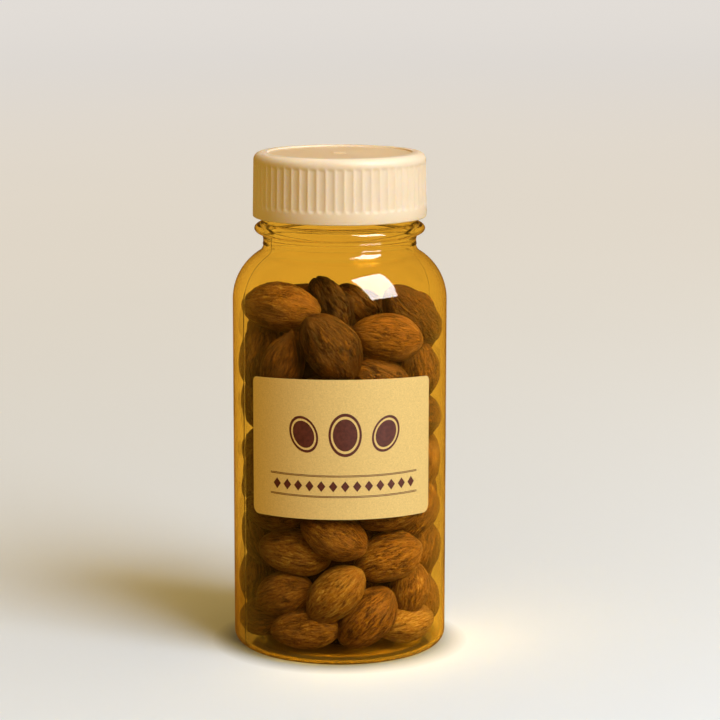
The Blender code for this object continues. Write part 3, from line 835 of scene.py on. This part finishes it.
# Centre x, y and z in mm, tilt and turn of the long axis in degrees, length and width in mm, kind and tone
frontNuts = [
    (-18.8, -15.0, 112.0, -4, -20, 26.0, 15.6, "mottled", 0.54),
    (-11.0, 3.0, 110.2, -12, 0, 22.0, 14.0, "brown", 0.34),
    (-2.2, -5.0, 112.8, -62, 0, 22.0, 13.2, "shrivelled", 0.00),
    (7.5, 2.0, 108.6, -46, 0, 22.5, 13.5, "shrivelled", 0.14),
    (22.6, -10.0, 108.7, -48, 20, 23.5, 15.2, "chestnut", 0.19),
    (28.5, 3.0, 104.6, -85, 60, 20.5, 13.5, "brown", 0.40),
    (-2.8, -25.0, 100.9, -55, 0, 24.2, 17.6, "folded", 0.16),
    (15.4, -21.0, 103.3, -6, 0, 22.6, 15.3, "ringed", 0.43),
    (-18.3, -20.0, 94.0, 75, 0, 24.5, 13.6, "pointed", 0.24),
    (-26.5, -5.0, 95.8, 80, 0, 23.5, 14.7, "umber", 0.30),
    (-6.4, -22.0, 84.7, 10, 0, 21.5, 14.0, "brown", 0.34),
    (11.5, -22.0, 90.2, -22, 0, 22.4, 14.8, "folded", 0.27),
    (26.2, -11.0, 92.3, -75, 30, 21.5, 14.2, "chestnut", 0.34),
    (-21.0, -20.0, 47.6, 2, -30, 22.3, 14.7, "umber", 0.46),
    (-1.8, -25.0, 41.0, -25, 0, 22.5, 14.8, "mottled", 0.48),
    (14.7, -24.0, 48.2, 5, 0, 22.6, 14.5, "mottled", 0.52),
    (25.1, -14.0, 45.7, 60, 30, 20.3, 13.6, "chestnut", 0.44),
    (27.6, -5.0, 31.7, 80, 40, 19.8, 13.5, "brown", 0.40),
    (-27.8, -3.0, 36.0, -60, -50, 20.5, 14.0, "umber", 0.32),
    (-14.5, -25.0, 34.2, -10, -8, 23.5, 15.0, "folded", 0.62),
    (16.2, -24.0, 32.2, 18, 10, 22.6, 16.2, "folded", 0.52),
    (-17.8, -22.0, 20.0, 20, -20, 19.6, 14.9, "chestnut", 0.46),
    (-1.2, -27.0, 21.7, 45, 0, 22.6, 15.2, "ridged", 0.66),
    (8.8, -26.0, 13.2, 48, 5, 23.4, 16.0, "umber", 0.39),
    (-10.8, -26.0, 8.6, 4, -5, 22.3, 13.4, "mottled", 0.50),
    (22.0, -20.0, 8.8, 8, 25, 19.2, 12.8, "ridged", 0.69),
    (23.2, -19.0, 20.8, 80, 20, 17.0, 12.8, "mottled", 0.50),
    (27.4, -4.0, 15.0, -75, 50, 18.5, 13.0, "ridged", 0.44),
    (-27.8, -4.0, 21.2, 85, -50, 20.2, 13.7, "brown", 0.30),
    (-25.5, -8.0, 8.2, 10, -50, 19.5, 13.0, "umber", 0.34),
]

# How each kind's skin differs: depths in mm, grooves round a nut, and the tone of a nut behind the front ones
nutKinds = {
    "brown": {"lumps": 0.38, "grooves": 0.36, "lines": 4.8, "fine": 0.12, "point": 0.16, "tone": 0.38},
    "chestnut": {"lumps": 0.35, "grooves": 0.32, "lines": 5.2, "fine": 0.12, "point": 0.20, "tone": 0.42},
    "umber": {"lumps": 0.38, "grooves": 0.34, "lines": 4.4, "fine": 0.12, "point": 0.18, "tone": 0.34},
    "russet": {"lumps": 0.40, "grooves": 0.32, "lines": 5.2, "fine": 0.12, "point": 0.20, "tone": 0.44},
    "mottled": {"lumps": 0.45, "grooves": 0.24, "lines": 4.2, "fine": 0.17, "point": 0.14, "tone": 0.48},
    "folded": {"lumps": 0.35, "grooves": 0.60, "lines": 4.2, "fine": 0.12, "point": 0.12, "tone": 0.38},
    "ridged": {"lumps": 0.25, "grooves": 0.46, "lines": 5.6, "fine": 0.12, "point": 0.18, "tone": 0.52},
    "ringed": {"lumps": 0.30, "grooves": 0.26, "lines": 4.2, "fine": 0.12, "point": 0.12, "tone": 0.46},
    "pointed": {"lumps": 0.30, "grooves": 0.26, "lines": 4.6, "fine": 0.11, "point": 0.42, "tone": 0.34},
    "shrivelled": {"lumps": 1.05, "grooves": 0.80, "lines": 3.0, "fine": 0.34, "point": 0.22, "tone": 0.20},
}
hiddenKinds = ("brown", "folded", "russet", "umber", "ridged", "chestnut", "folded", "shrivelled", "mottled")


def longAxis(tilt, turn):
    a, b = math.radians(tilt), math.radians(turn)
    return Vector((math.cos(a) * math.cos(b), math.cos(a) * math.sin(b), math.sin(a)))


def startFrontNuts():
    nuts = []
    for x, y, z, tilt, turn, length, width, kind, tone in frontNuts:
        place = Vector((x, y, z)) * mm
        nuts.append({
            "place": place, "home": place.copy(), "axis": longAxis(tilt, turn), "length": length * mm,
            "width": width * mm, "atWall": True, "kind": kind, "tone": tone})
    return nuts


def startHiddenNuts():
    # The nuts behind and inside start on a rising golden-angle spiral
    draw = random.Random(heap["seed"])
    nuts = []
    for i in range(heap["hiddenCount"]):
        length = draw.uniform(*heap["hiddenLength"]) * mm
        width = draw.uniform(*heap["hiddenWidth"]) * mm
        inner = i % 4 == 3
        azimuth = heap["goldenAngle"] * i
        radius = draw.uniform(*heap["innerRadius"]) * mm if inner else heap["wallRadius"]
        span = heap["hiddenHigh"] - heap["floor"] - 2.0 * heap["halfNut"]
        z = heap["floor"] + heap["halfNut"] + span * (i + 0.5) / heap["hiddenCount"]
        x, y = radius * math.sin(azimuth), -radius * math.cos(azimuth)
        lowInset, highInset = heap["labelInset"]
        besideLabel = heap["labelLow"] + lowInset < z < heap["labelHigh"] - highInset
        if y < heap["startBehind"][0] * mm and not besideLabel:
            y = draw.uniform(*heap["startBehind"]) * mm
            x *= heap["startNarrow"]
        tilt = draw.uniform(*heap["startTilt"])
        turn = draw.uniform(0.0, 180.0) if inner else math.degrees(azimuth) + draw.uniform(*heap["startTurn"])
        kind = hiddenKinds[i % len(hiddenKinds)]
        nuts.append({
            "place": Vector((x, y, z)), "home": None, "axis": longAxis(tilt, turn), "length": length,
            "width": width, "atWall": not inner, "kind": kind, "tone": nutKinds[kind]["tone"]})
    return nuts


def nutBalls(nut):
    # A big ball with a smaller one at each end stands for a nut while the heap settles
    reach = 0.5 * nut["length"] - heap["endBallIn"] * nut["width"]
    balls = [(nut["place"].copy(), heap["middleBall"] * nut["width"])]
    for side in (-1.0, 1.0):
        balls.append((nut["place"] + side * reach * nut["axis"], heap["endBall"] * nut["width"]))
    return balls


def deepestOverlap(ballsA, ballsB):
    best = (0.0, None)
    for centreA, radiusA in ballsA:
        for centreB, radiusB in ballsB:
            gap = centreA - centreB
            overlap = radiusA + radiusB - gap.length
            if overlap > best[0] and gap.length > 0.0:
                best = (overlap, gap.normalized())
    return best


def partNeighbours(nuts):
    # Each overlapping pair moves apart; a front nut gives way less than a hidden one
    balls = [nutBalls(nut) for nut in nuts]
    moves = [Vector() for nut in nuts]
    for i, nutA in enumerate(nuts):
        for j in range(i + 1, len(nuts)):
            nutB = nuts[j]
            if (nutA["place"] - nutB["place"]).length > heap["pairReach"]:
                continue
            overlap, way = deepestOverlap(balls[i], balls[j])
            if way is None:
                continue
            share = 0.5
            if nutA["home"] and not nutB["home"]:
                share = heap["frontShare"]
            if nutB["home"] and not nutA["home"]:
                share = 1.0 - heap["frontShare"]
            moves[i] += way * heap["push"] * overlap * share
            moves[j] -= way * heap["push"] * overlap * (1.0 - share)
    limit = heap["pushLimit"]
    for nut, move in zip(nuts, moves):
        nut["place"] += Vector([max(-limit, min(limit, m)) for m in move])


def holdInJar(nut):
    place = nut["place"]
    for centre, radius in nutBalls(nut):
        reach = math.hypot(centre.x, centre.y)
        excess = reach + radius - heap["spaceRadius"]
        if excess > 0.0:
            place.x -= centre.x * excess / reach
            place.y -= centre.y * excess / reach
    balls = nutBalls(nut)
    lowest = min(centre.z - radius for centre, radius in balls)
    highest = max(centre.z + radius for centre, radius in balls)
    ceiling = heap["high"] if nut["home"] else heap["hiddenHigh"]
    place.z += max(0.0, heap["floor"] - lowest) - 0.5 * max(0.0, highest - ceiling)


def settle(nuts):
    for step in range(heap["settleSteps"]):
        # In the last steps a front nut gives way in depth alone, so that it keeps its place in the front view
        hold = heap["looseHold"] if step < heap["looseSteps"] else heap["firmHold"]
        partNeighbours(nuts)
        for nut in nuts:
            place = nut["place"]
            if nut["home"]:
                away = nut["home"] - place
                place += Vector((hold * away.x, heap["depthHold"] * away.y, hold * away.z))
            else:
                place.z -= heap["settleSink"]
                if nut["atWall"]:
                    place += heap["settleOutward"] * Vector((place.x, place.y, 0.0)).normalized()
                besideLabel = heap["labelLow"] < place.z < heap["labelHigh"] - heap["settledInset"]
                if place.y < heap["frontEdge"] and not besideLabel:
                    place.y += heap["settleBackward"]
            holdInJar(nut)


def nutFrame(nut):
    axis = nut["axis"]
    side = axis.cross(Vector((0.0, 0.0, 1.0))).normalized()
    return axis, side, side.cross(axis)


def nutOutline(along, point):
    # Half-width over its widest, from the blunt end at -1 to the narrower end at 1
    taper = 1.0 + 0.06 * along - point * max(0.0, along) ** 3
    sharp = 0.5 + 0.7 * max(0.0, point - 0.2) * (2.0 if along > 0.0 else 0.0)
    return max(0.0, 1.0 - along * along) ** sharp * taper


def keepClearOfWall(nut):
    # A last move by the same faceted skin that the solid has: off the wall and floor, or up against the wall
    axis, side, up = nutFrame(nut)
    points = [nut["place"] + axis * 0.5 * nut["length"] * s for s in (-1.0, 1.0)]
    rings, around = heap["facets"]
    for i in range(rings):
        along = -math.cos(math.pi * (i + 1) / (rings + 1))
        width = 0.5 * nut["width"] * nutOutline(along, heap["facetPoint"]) * heap["facetSpare"]
        for j in range(around):
            angle = math.tau * (j + 0.5 * (i % 2)) / around
            offset = side * width * heap["flatness"] * math.cos(angle) + up * width * math.sin(angle)
            points.append(nut["place"] + axis * 0.5 * nut["length"] * along + offset)
    limit = bodyRadius - jar["wall"] - heap["wallClearance"]
    reach = max(math.hypot(p.x, p.y) for p in points)
    flat = math.hypot(nut["place"].x, nut["place"].y)
    leaning = not nut["home"] and reach > heap["wallReach"]
    if flat > 0.0 and (reach > limit or leaning):
        nut["place"].x *= 1.0 - (reach - limit) / flat
        nut["place"].y *= 1.0 - (reach - limit) / flat
    floor = jar["pushUp"] + jar["wall"] + heap["wallClearance"]
    nut["place"].z += max(0.0, floor - min(p.z for p in points))
    nut["reach"] = reach
    nut["top"] = max(p.z for p in points)


# Sizes of a skin's features: noise scales are per mm along a nut and round its girth, the fissure is in mm
relief = {
    "bendShare": 0.25,
    "bendScale": (0.12, 1.3),
    "grooveScale": 0.09,
    "lumpScale": (0.13, 1.05),
    "pebbleScale": (0.9, 7.5),
    "grooveWide": 0.15,
    "grooveSharp": 1.2,
    "hairWide": 0.12,
    "hairShare": 0.45,
    "fissureTurn": 0.25,
    "fissureGirth": 7.4,
    "fissurePlace": 1.2,
    "fissureReach": 3.8,
    "fissureDeep": 0.5,
    "rippleHigh": 0.32,
    "foldDeep": 1.7,
    "tipStart": 0.90,
}


def skinPoint(x, a, lengthScale, girthScale):
    # Where a noise is read for a place on the skin
    return Vector((lengthScale * x, girthScale * math.cos(a), girthScale * math.sin(a)))


def groovePattern(x, a, lines, offset):
    # Valleys that run lengthwise, meander and meet at the nut's ends, at the zeros of a stretched noise
    bend = relief["bendShare"] * noise.noise(skinPoint(x, a, *relief["bendScale"]) + offset)
    point = skinPoint(x, a + bend, relief["grooveScale"], lines) + offset
    return noise.noise(point) + 0.35 * noise.noise(point * 2.1)


def nutRelief(kind, x, s, a, offset):
    # How far the skin moves out in mm, then how deep in a groove it lies as painted shade and how far up a
    # crest it stands as a painted highlight, both from 0 to 1
    k, r = nutKinds[kind], relief
    fade = min(1.0, 2.4 * (1.0 - abs(s)) + 0.1)
    wide = abs(groovePattern(x, a, k["lines"], offset))
    groove = max(0.0, 1.0 - wide / r["grooveWide"]) ** r["grooveSharp"]
    fine = abs(groovePattern(1.7 * x, a, 1.7 * k["lines"], offset * 1.7))
    hair = r["hairShare"] * max(0.0, 1.0 - fine / r["hairWide"])
    ring = skinPoint(x, a, *r["lumpScale"]) + offset * 0.6
    lump = noise.noise(ring) + 0.4 * noise.noise(ring * 2.3)
    pebble = noise.fractal(skinPoint(x, a, *r["pebbleScale"]) + offset, 0.8, 2.1, 2)
    some = smooth(0.6 + 1.4 * noise.noise(ring * 1.9 + offset))
    move = k["lumps"] * lump + k["fine"] * pebble - k["grooves"] * fade * (some * groove + hair)
    # Painted shade deep in the grooves and hairlines, and a painted highlight on the crests between them
    paintedGrooveShade = fade * (some * groove * min(1.0, k["grooves"] / 0.3) + hair)
    # Painted highlight: paler on the crests between the grooves
    crestHighlight = fade * smooth((wide - 0.12) / 0.25) * smooth((fine - 0.08) / 0.25)
    if kind == "ringed":
        # Wrinkles round a lens-shaped fissure on the side that faces the front
        across = math.remainder(a - r["fissureTurn"], math.tau) * r["fissureGirth"]
        along = x + r["fissurePlace"]
        away = math.hypot(along / 2.5, across)
        ripple = 0.5 + 0.5 * math.cos(away * 2.3 + 2.6 * lump)
        near = 0.6 * math.exp(-(away / r["fissureReach"]) ** 2)
        slit = math.exp(-((across + 0.10 * along) / 0.30) ** 2 - (along / 3.4) ** 2)
        move += r["rippleHigh"] * near * (ripple - 0.5) - r["fissureDeep"] * slit
        # Painted shade in the ripples' troughs and the slit, painted highlight on the ripples' crests
        paintedGrooveShade = max(paintedGrooveShade * (1.0 - near), 0.7 * near * (1.0 - ripple) ** 3, 0.8 * slit)
        crestHighlight = max(crestHighlight * (1.0 - near), near * ripple)
    if kind == "shrivelled":
        fold = max(0.0, math.sin(a + 0.05 * x + 1.2 * lump)) ** 8
        move -= r["foldDeep"] * fade * fold
        # Painted shade in the folds
        paintedGrooveShade = max(paintedGrooveShade, 0.9 * fold)
    tip = smooth((s - r["tipStart"]) / 0.08)
    return move, min(1.0, paintedGrooveShade), min(1.0, crestHighlight + 1.2 * tip)


def nutSkin(nut, index, around, rings):
    # One nut's points, faces and shading values (tone, painted groove shade, painted crest highlight with a
    # paler tip), in the row frame
    kind = nut["kind"]
    point = nutKinds[kind]["point"]
    axis, side, up = nutFrame(nut)
    draw = random.Random(100 + index)
    offset = Vector([draw.uniform(-40.0, 40.0) for i in range(3)])
    tone = nut["tone"] + (0.0 if nut["home"] else draw.uniform(-0.07, 0.07))
    halfLength, halfWidth = 0.5 * nut["length"], 0.5 * nut["width"]
    bend = draw.uniform(-0.05, 0.05)
    limit = bodyRadius - jar["wall"] - heap["skinClearance"]
    overHeel = nut["reach"] > heap["heelReach"]
    floor = jar["wall"] + (heap["floorClearance"] if overHeel else jar["pushUp"])
    verts, values, coords = [], [], []

    def put(s, a):
        x = halfLength * s / mm
        move, paintedGrooveShade, crestHighlight = nutRelief(kind, x, s, a, offset)
        width = halfWidth * nutOutline(s, point)
        body = side * width * heap["flatness"] * math.cos(a) + up * width * math.sin(a)
        outward = (axis * s * 0.6 + side * math.cos(a) + up * math.sin(a)) if abs(s) < 1.0 else axis * s
        bowed = up * bend * halfLength * (0.5 - s * s)
        p = nut["place"] + axis * halfLength * s + body + bowed + outward.normalized() * move * mm
        reach = math.hypot(p.x, p.y)
        if reach > limit:
            p.x *= limit / reach
            p.y *= limit / reach
        p.z = max(p.z, floor)
        verts.append(p)
        values.append((tone, paintedGrooveShade, crestHighlight, 1.0))
        girth = halfWidth / mm
        coords.append((x + offset.x, girth * math.cos(a) + offset.y, girth * math.sin(a) + offset.z))

    put(-1.0, 0.0)
    for i in range(rings):
        s = -math.cos(math.pi * (i + 1) / (rings + 1))
        for j in range(around):
            put(s, math.tau * j / around)
    put(1.0, 0.0)
    loops = [[0]] + [[1 + i * around + j for j in range(around)] for i in range(rings)] + [[len(verts) - 1]]
    return verts, [face[::-1] for face in allBands(loops)], values, coords


betelColours = {
    "deep": (0.009, 0.0032, 0.0010),
    "dark": (0.040, 0.0155, 0.0046),
    "middle": (0.110, 0.0485, 0.0140),
    "light": (0.158, 0.094, 0.036),
    "pale": (0.215, 0.160, 0.088),
    # painted sheen: a grey-purple tint
    "sheenTint": (0.118, 0.064, 0.045),
    "paintedGrooveShade": (0.18, 0.13, 0.10),
}

# How strongly each texture, the painted crest highlight and the painted groove shade move the colour, and the
# places of the colours on the scale that they add up to
betelShares = {"spots": 0.55, "mottledSpots": 1.0, "fibre": 1.45, "speck": 0.85, "crest": 0.16, "paintedGrooveShade": 0.9}
betelPlaces = {"deep": 0.0, "dark": 0.28, "middle": 0.56, "light": 0.82, "pale": 1.0}


def betelSkin(kind):
    c, share = betelColours, betelShares
    material, tree, shader = startMaterial("betelSkin_" + kind, {
        "IOR": 1.47, "Specular IOR Level": 0.10})
    shade = addNode(tree, "ShaderNodeAttribute", -1600, 300, attribute_name="nutShade")
    place = addNode(tree, "ShaderNodeAttribute", -1600, -100, attribute_name="nutCoord")
    parts = addNode(tree, "ShaderNodeSeparateColor", -1350, 300)
    tree.links.new(shade.outputs["Color"], parts.inputs["Color"])
    where = place.outputs["Vector"]
    spots = noiseOn(tree, where, 0.30, 5.0, -1100, 300, rough=0.7)
    stretched = scaled(tree, where, (0.24, 1.0, 1.0), -1350, -150)
    fibre = noiseOn(tree, stretched, 1.9, 4.0, -1100, -150, rough=0.72, distortion=0.3)
    speck = noiseOn(tree, where, 1.9, 4.0, -1100, -300, rough=0.75)
    sheenNoise = noiseOn(tree, where, 0.14, 2.0, -1100, -450)
    spotShare = share["mottledSpots" if kind == "mottled" else "spots"]
    textures = ((spots, spotShare, 300), (fibre, share["fibre"], -150), (speck, share["speck"], -300))
    value = parts.outputs["Red"]
    for texture, strength, y in textures:
        value = addShare(tree, rangeOn(tree, texture, -0.5, 0.5, -900, y), strength, value, -600, y)
    # Painted highlight: the crest value lifts the colour towards the paler end of the scale
    crest = addShare(tree, parts.outputs["Blue"], share["crest"], value, -340, 200)
    colour = rampOn(tree, crest, [(place, c[name]) for name, place in betelPlaces.items()], -150, 200)
    # Painted sheen: grey-purple patches laid over the colour at random
    sheenPatches = rangeOn(tree, sheenNoise, 0.0, 0.5, -500, -450, fromLow=0.52, fromHigh=0.75)
    withSheen = mixOn(tree, sheenPatches, colour, c["sheenTint"], 150, 200)
    # Painted shade: a darker copy of the colour, mixed in where the groove shade value below is high
    grooveShadedColour = mixOn(tree, 1.0, withSheen, c["paintedGrooveShade"], 150, 0, blend="MULTIPLY")
    deep = mathOn(tree, "MULTIPLY", parts.outputs["Green"], share["paintedGrooveShade"], 150, -200)
    coarse = bumpOn(tree, speck, 0.6, 0.35 * mm, 300, -550)
    feedShader(tree, shader, {
        "Base Color": mixOn(tree, deep, withSheen, grooveShadedColour, 400, 150),
        "Roughness": rangeOn(tree, fibre, 0.42, 0.68, 150, -350),
        "Normal": bumpOn(tree, fibre, 1.0, 0.55 * mm, 550, -350, coarse)})
    return material


def kindPiece(kind, skins):
    # All nuts of one kind as one piece, with their tone, painted shade and painted highlight as attributes
    verts, faces, values, coords = [], [], [], []
    for skinVerts, skinFaces, skinValues, skinCoords in skins:
        start = len(verts)
        verts += skinVerts
        faces += [tuple(start + i for i in face) for face in skinFaces]
        values += skinValues
        coords += skinCoords
    piece = addPiece("nuts_" + kind, verts, faces, betelSkin(kind))
    shade = piece.data.attributes.new("nutShade", "FLOAT_COLOR", "POINT")
    shade.data.foreach_set("color", np.array(values, np.float32).ravel())
    where = piece.data.attributes.new("nutCoord", "FLOAT_VECTOR", "POINT")
    where.data.foreach_set("vector", np.array(coords, np.float32).ravel())
    return piece


def makeNuts():
    nuts = startFrontNuts() + startHiddenNuts()
    settle(nuts)
    for nut in nuts:
        keepClearOfWall(nut)
    shown = [n for n in nuts if n["home"] or n["reach"] > heap["wallReach"] or n["top"] > heap["topShown"]]
    print("heap settled:", len(nuts), "nuts,", len(shown), "of them shown")
    skins = {kind: [] for kind in nutKinds}
    for index, nut in enumerate(shown):
        around, rings = heap["frontGrid"] if nut["home"] else heap["hiddenGrid"]
        skins[nut["kind"]].append(nutSkin(nut, index, around, rings))
    return [kindPiece(kind, skins[kind]) for kind in nutKinds]


core = {
    "radius": 20.0 * mm,
    "low": 7.0 * mm,
    "edge": 4.0 * mm,
    "edgeRise": 1.5 * mm,
    "domeLow": 92.0 * mm,
    "domeHigh": 104.0 * mm,
    "wallSteps": 36,
    "domeSteps": 10,
    "columns": 72,
    "lump": 1.6 * mm,
    "lumpScale": 110.0,
    # near-black painted shade for the heap's depth
    "dark": (0.010, 0.005, 0.002),
    "shadowMottle": (0.035, 0.016, 0.007),
}


def heapShadow():
    material, tree, shader = startMaterial("heapShadow", {"IOR": 1.4, "Specular IOR Level": 0.1})
    coords = objectCoords(tree)
    shadowMottle = noiseOn(tree, coords, 260.0, 4.0, -600, 100)
    feedShader(tree, shader, {
        "Base Color": rampOn(tree, shadowMottle, [(0.3, core["dark"]), (0.7, core["shadowMottle"])], -200, 100),
        "Roughness": rangeOn(tree, shadowMottle, 0.75, 0.95, -200, -150),
        "Normal": bumpOn(tree, shadowMottle, 0.6, 1.0 * mm, 300, -200)})
    return material


def makeCore():
    # A dark lumpy middle, painted shade for the depth of the heap, so that no gap between the nuts shows
    # through the heap
    c = core
    radius, edge, low, domeLow = c["radius"], c["edge"], c["low"], c["domeLow"]
    outline = [(0.0, low), (radius - edge, low), (radius - mm, low + c["edgeRise"])]
    for i in range(c["wallSteps"] + 1):
        outline.append((radius, low + edge + (domeLow - low - edge) * i / c["wallSteps"]))
    for i in range(1, c["domeSteps"]):
        a = math.pi / 2 * i / c["domeSteps"]
        outline.append((radius * math.cos(a), domeLow + (c["domeHigh"] - domeLow) * math.sin(a)))
    outline.append((0.0, c["domeHigh"]))
    verts, rings = [], []
    for r, z in outline:
        points = []
        for j in range(1 if r == 0.0 else c["columns"]):
            a = math.tau * j / c["columns"]
            spot = Vector((r * math.sin(a), r * math.cos(a), z)) * c["lumpScale"]
            lump = c["lump"] * noise.noise(spot)
            points.append(turnedPoint(r + lump if r > 0.0 else 0.0, a, z + lump))
        rings.append(addRow(verts, points))
    return addPiece("nuts_core", verts, allBands(rings), heapShadow())


for nutPiece in makeNuts():
    ridesOnJar(nutPiece, "betel_nut", "nuts")
ridesOnJar(makeCore(), "betel_nut", "nuts")
print("nuts made")


# Studio: a pale floor, a soft light from the right, a window for the highlight alone, and a dim warm room

studio = {
    "floorRadius": 30.0,
    "floorColour": (0.66, 0.715, 0.80),
    "floorGlow": (0.60, 0.62, 0.66),
    "glowReach": 1.2,
    "farShade": 0.5,
    "farReach": (0.2, 3.5),
    "underShade": 0.20,
    "underReach": (0.031, 0.042),
    "lampSize": (0.74, 1.06),
    "lampRise": math.radians(41.0),
    "keyTurn": math.radians(45.0),
    "keyDistance": 1.32,
    "keyPower": 24.0,
    "keyColour": (0.80, 0.90, 1.0),
    "windowTurn": math.radians(50.0),
    "windowDistance": 1.28,
    "windowPower": 80.0,
    "windowColour": (0.95, 0.96, 1.0),
    "roomDiffuse": (0.50, 0.31, 0.060),
    "roomInside": (0.20, 0.095, 0.018),
    "roomGlossy": (0.22, 0.080, 0.008),
    "roomClear": (0.72, 0.68, 0.60),
    "aimHigh": 0.10,
    "cameraPlace": (0.0, -0.8315, 0.2376),
    "cameraDown": math.radians(9.878),
    "lens": 130.6,
    "shiftX": 0.0282,
}


def aimedLight(name, turn, distance, power, colour):
    # Turn is measured from the front towards +X, rise above the floor
    rise = studio["lampRise"]
    middle = Vector((0.0, 0.0, studio["aimHigh"]))
    way = Vector((math.sin(turn) * math.cos(rise), -math.cos(turn) * math.cos(rise), math.sin(rise)))
    data = bpy.data.lights.new(name, "AREA")
    data.shape = "RECTANGLE"
    data.size, data.size_y = studio["lampSize"]
    data.energy = power
    data.color = colour
    lamp = bpy.data.objects.new(name, data)
    lamp.location = middle + way * distance
    lamp.rotation_euler = way.to_track_quat("Z", "Y").to_euler()
    bpy.context.scene.collection.objects.link(lamp)
    return lamp


def firstLook(tree, path, x, y):
    # 1 on a path that has met no matt surface yet, and 0 on light that is on its way back from one
    return mathOn(tree, "LESS_THAN", path.outputs["Diffuse Depth"], 0.5, x, y)


def makeFloor():
    s = studio
    # The far part glows a little, because the lamps don't reach it, and the part under the jar is painted
    # darker, a painted shadow
    material, tree, shader = startMaterial("paleFloor", {
        "Specular IOR Level": 0.1, "Roughness": 0.7, "Emission Color": (*s["floorGlow"], 1.0)})
    coords = objectCoords(tree)
    away = addNode(tree, "ShaderNodeVectorMath", -600, -200, operation="LENGTH")
    tree.links.new(coords, away.inputs[0])
    distance = away.outputs["Value"]
    far = rangeOn(tree, distance, 1.0, s["farShade"], -400, -50, *s["farReach"])
    # Painted shadow: the floor under the jar and just round its foot is painted darker
    under = rangeOn(tree, distance, s["underShade"], 1.0, -400, -200, *s["underReach"])
    far.node.interpolation_type = "SMOOTHSTEP"
    rate = mathOn(tree, "DIVIDE", distance, -s["glowReach"], -500, -400)
    fading = mathOn(tree, "EXPONENT", rate, 0.0, -350, -400)
    glow = mathOn(tree, "SUBTRACT", 1.0, fading, -200, -400)
    cloud = noiseOn(tree, coords, 3.0, 2.0, -600, 100)
    dark, light = shadesOf(s["floorColour"], 0.985, 1.0)
    pale = rampOn(tree, cloud, [(0.3, dark), (0.7, light)], -300, 200)
    shaded = mixOn(tree, 1.0, pale, mathOn(tree, "MULTIPLY", far, under, 0, -50), 300, 100, blend="MULTIPLY")
    feedShader(tree, shader, {"Base Color": shaded, "Emission Strength": glow})
    # Light that has met a matt surface finds a dim warm floor, so that the object's shaded sides stay warm
    path = addNode(tree, "ShaderNodeLightPath", 300, 500)
    warm = addNode(tree, "ShaderNodeEmission", 800, 300, {"Color": (*s["roomInside"], 1.0)})
    mixSurface(tree, firstLook(tree, path, 500, 500), warm, shader, 1000, 200)
    ring = [turnedPoint(s["floorRadius"], math.tau * i / 64, 0.0) for i in range(64)]
    floor = addPiece("floor", ring, [tuple(range(64))], material)
    floor.visible_diffuse = False
    floor.visible_glossy = False


def makeRoom():
    # Dim warm light from all sides, weaker where it is mirrored, and a pale room seen through the plastic
    world = bpy.data.worlds.new("softRoom")
    world.use_nodes = True
    tree = world.node_tree
    background = tree.nodes["Background"]
    path = addNode(tree, "ShaderNodeLightPath", -1100, 0)
    first = firstLook(tree, path, -900, 0)
    aside = mixOn(tree, path.outputs["Is Glossy Ray"], studio["roomDiffuse"], studio["roomGlossy"], -500, 100)
    through = mixOn(tree, first, studio["roomInside"], studio["roomClear"], -500, -150)
    either = mixOn(tree, path.outputs["Is Transmission Ray"], aside, through, -250, 0)
    tree.links.new(either, background.inputs["Color"])
    bpy.context.scene.world = world


def makeStudio():
    s = studio
    makeFloor()
    key = aimedLight("key", s["keyTurn"], s["keyDistance"], s["keyPower"], s["keyColour"])
    key.visible_glossy = False
    window = aimedLight("window", s["windowTurn"], s["windowDistance"], s["windowPower"], s["windowColour"])
    window.visible_diffuse = False  # it is only mirrored: the jar's bright highlight
    makeRoom()
    bpy.context.scene.view_settings.view_transform = "Standard"


def makeCamera():
    data = bpy.data.cameras.new("camera")
    data.lens = studio["lens"]
    data.sensor_width = 36.0
    data.shift_x = studio["shiftX"]
    camera = bpy.data.objects.new("camera", data)
    camera.location = studio["cameraPlace"]
    camera.rotation_euler = (math.radians(90.0) - studio["cameraDown"], 0.0, 0.0)
    bpy.context.scene.collection.objects.link(camera)
    bpy.context.scene.camera = camera


makeStudio()
makeCamera()
print("studio ready")
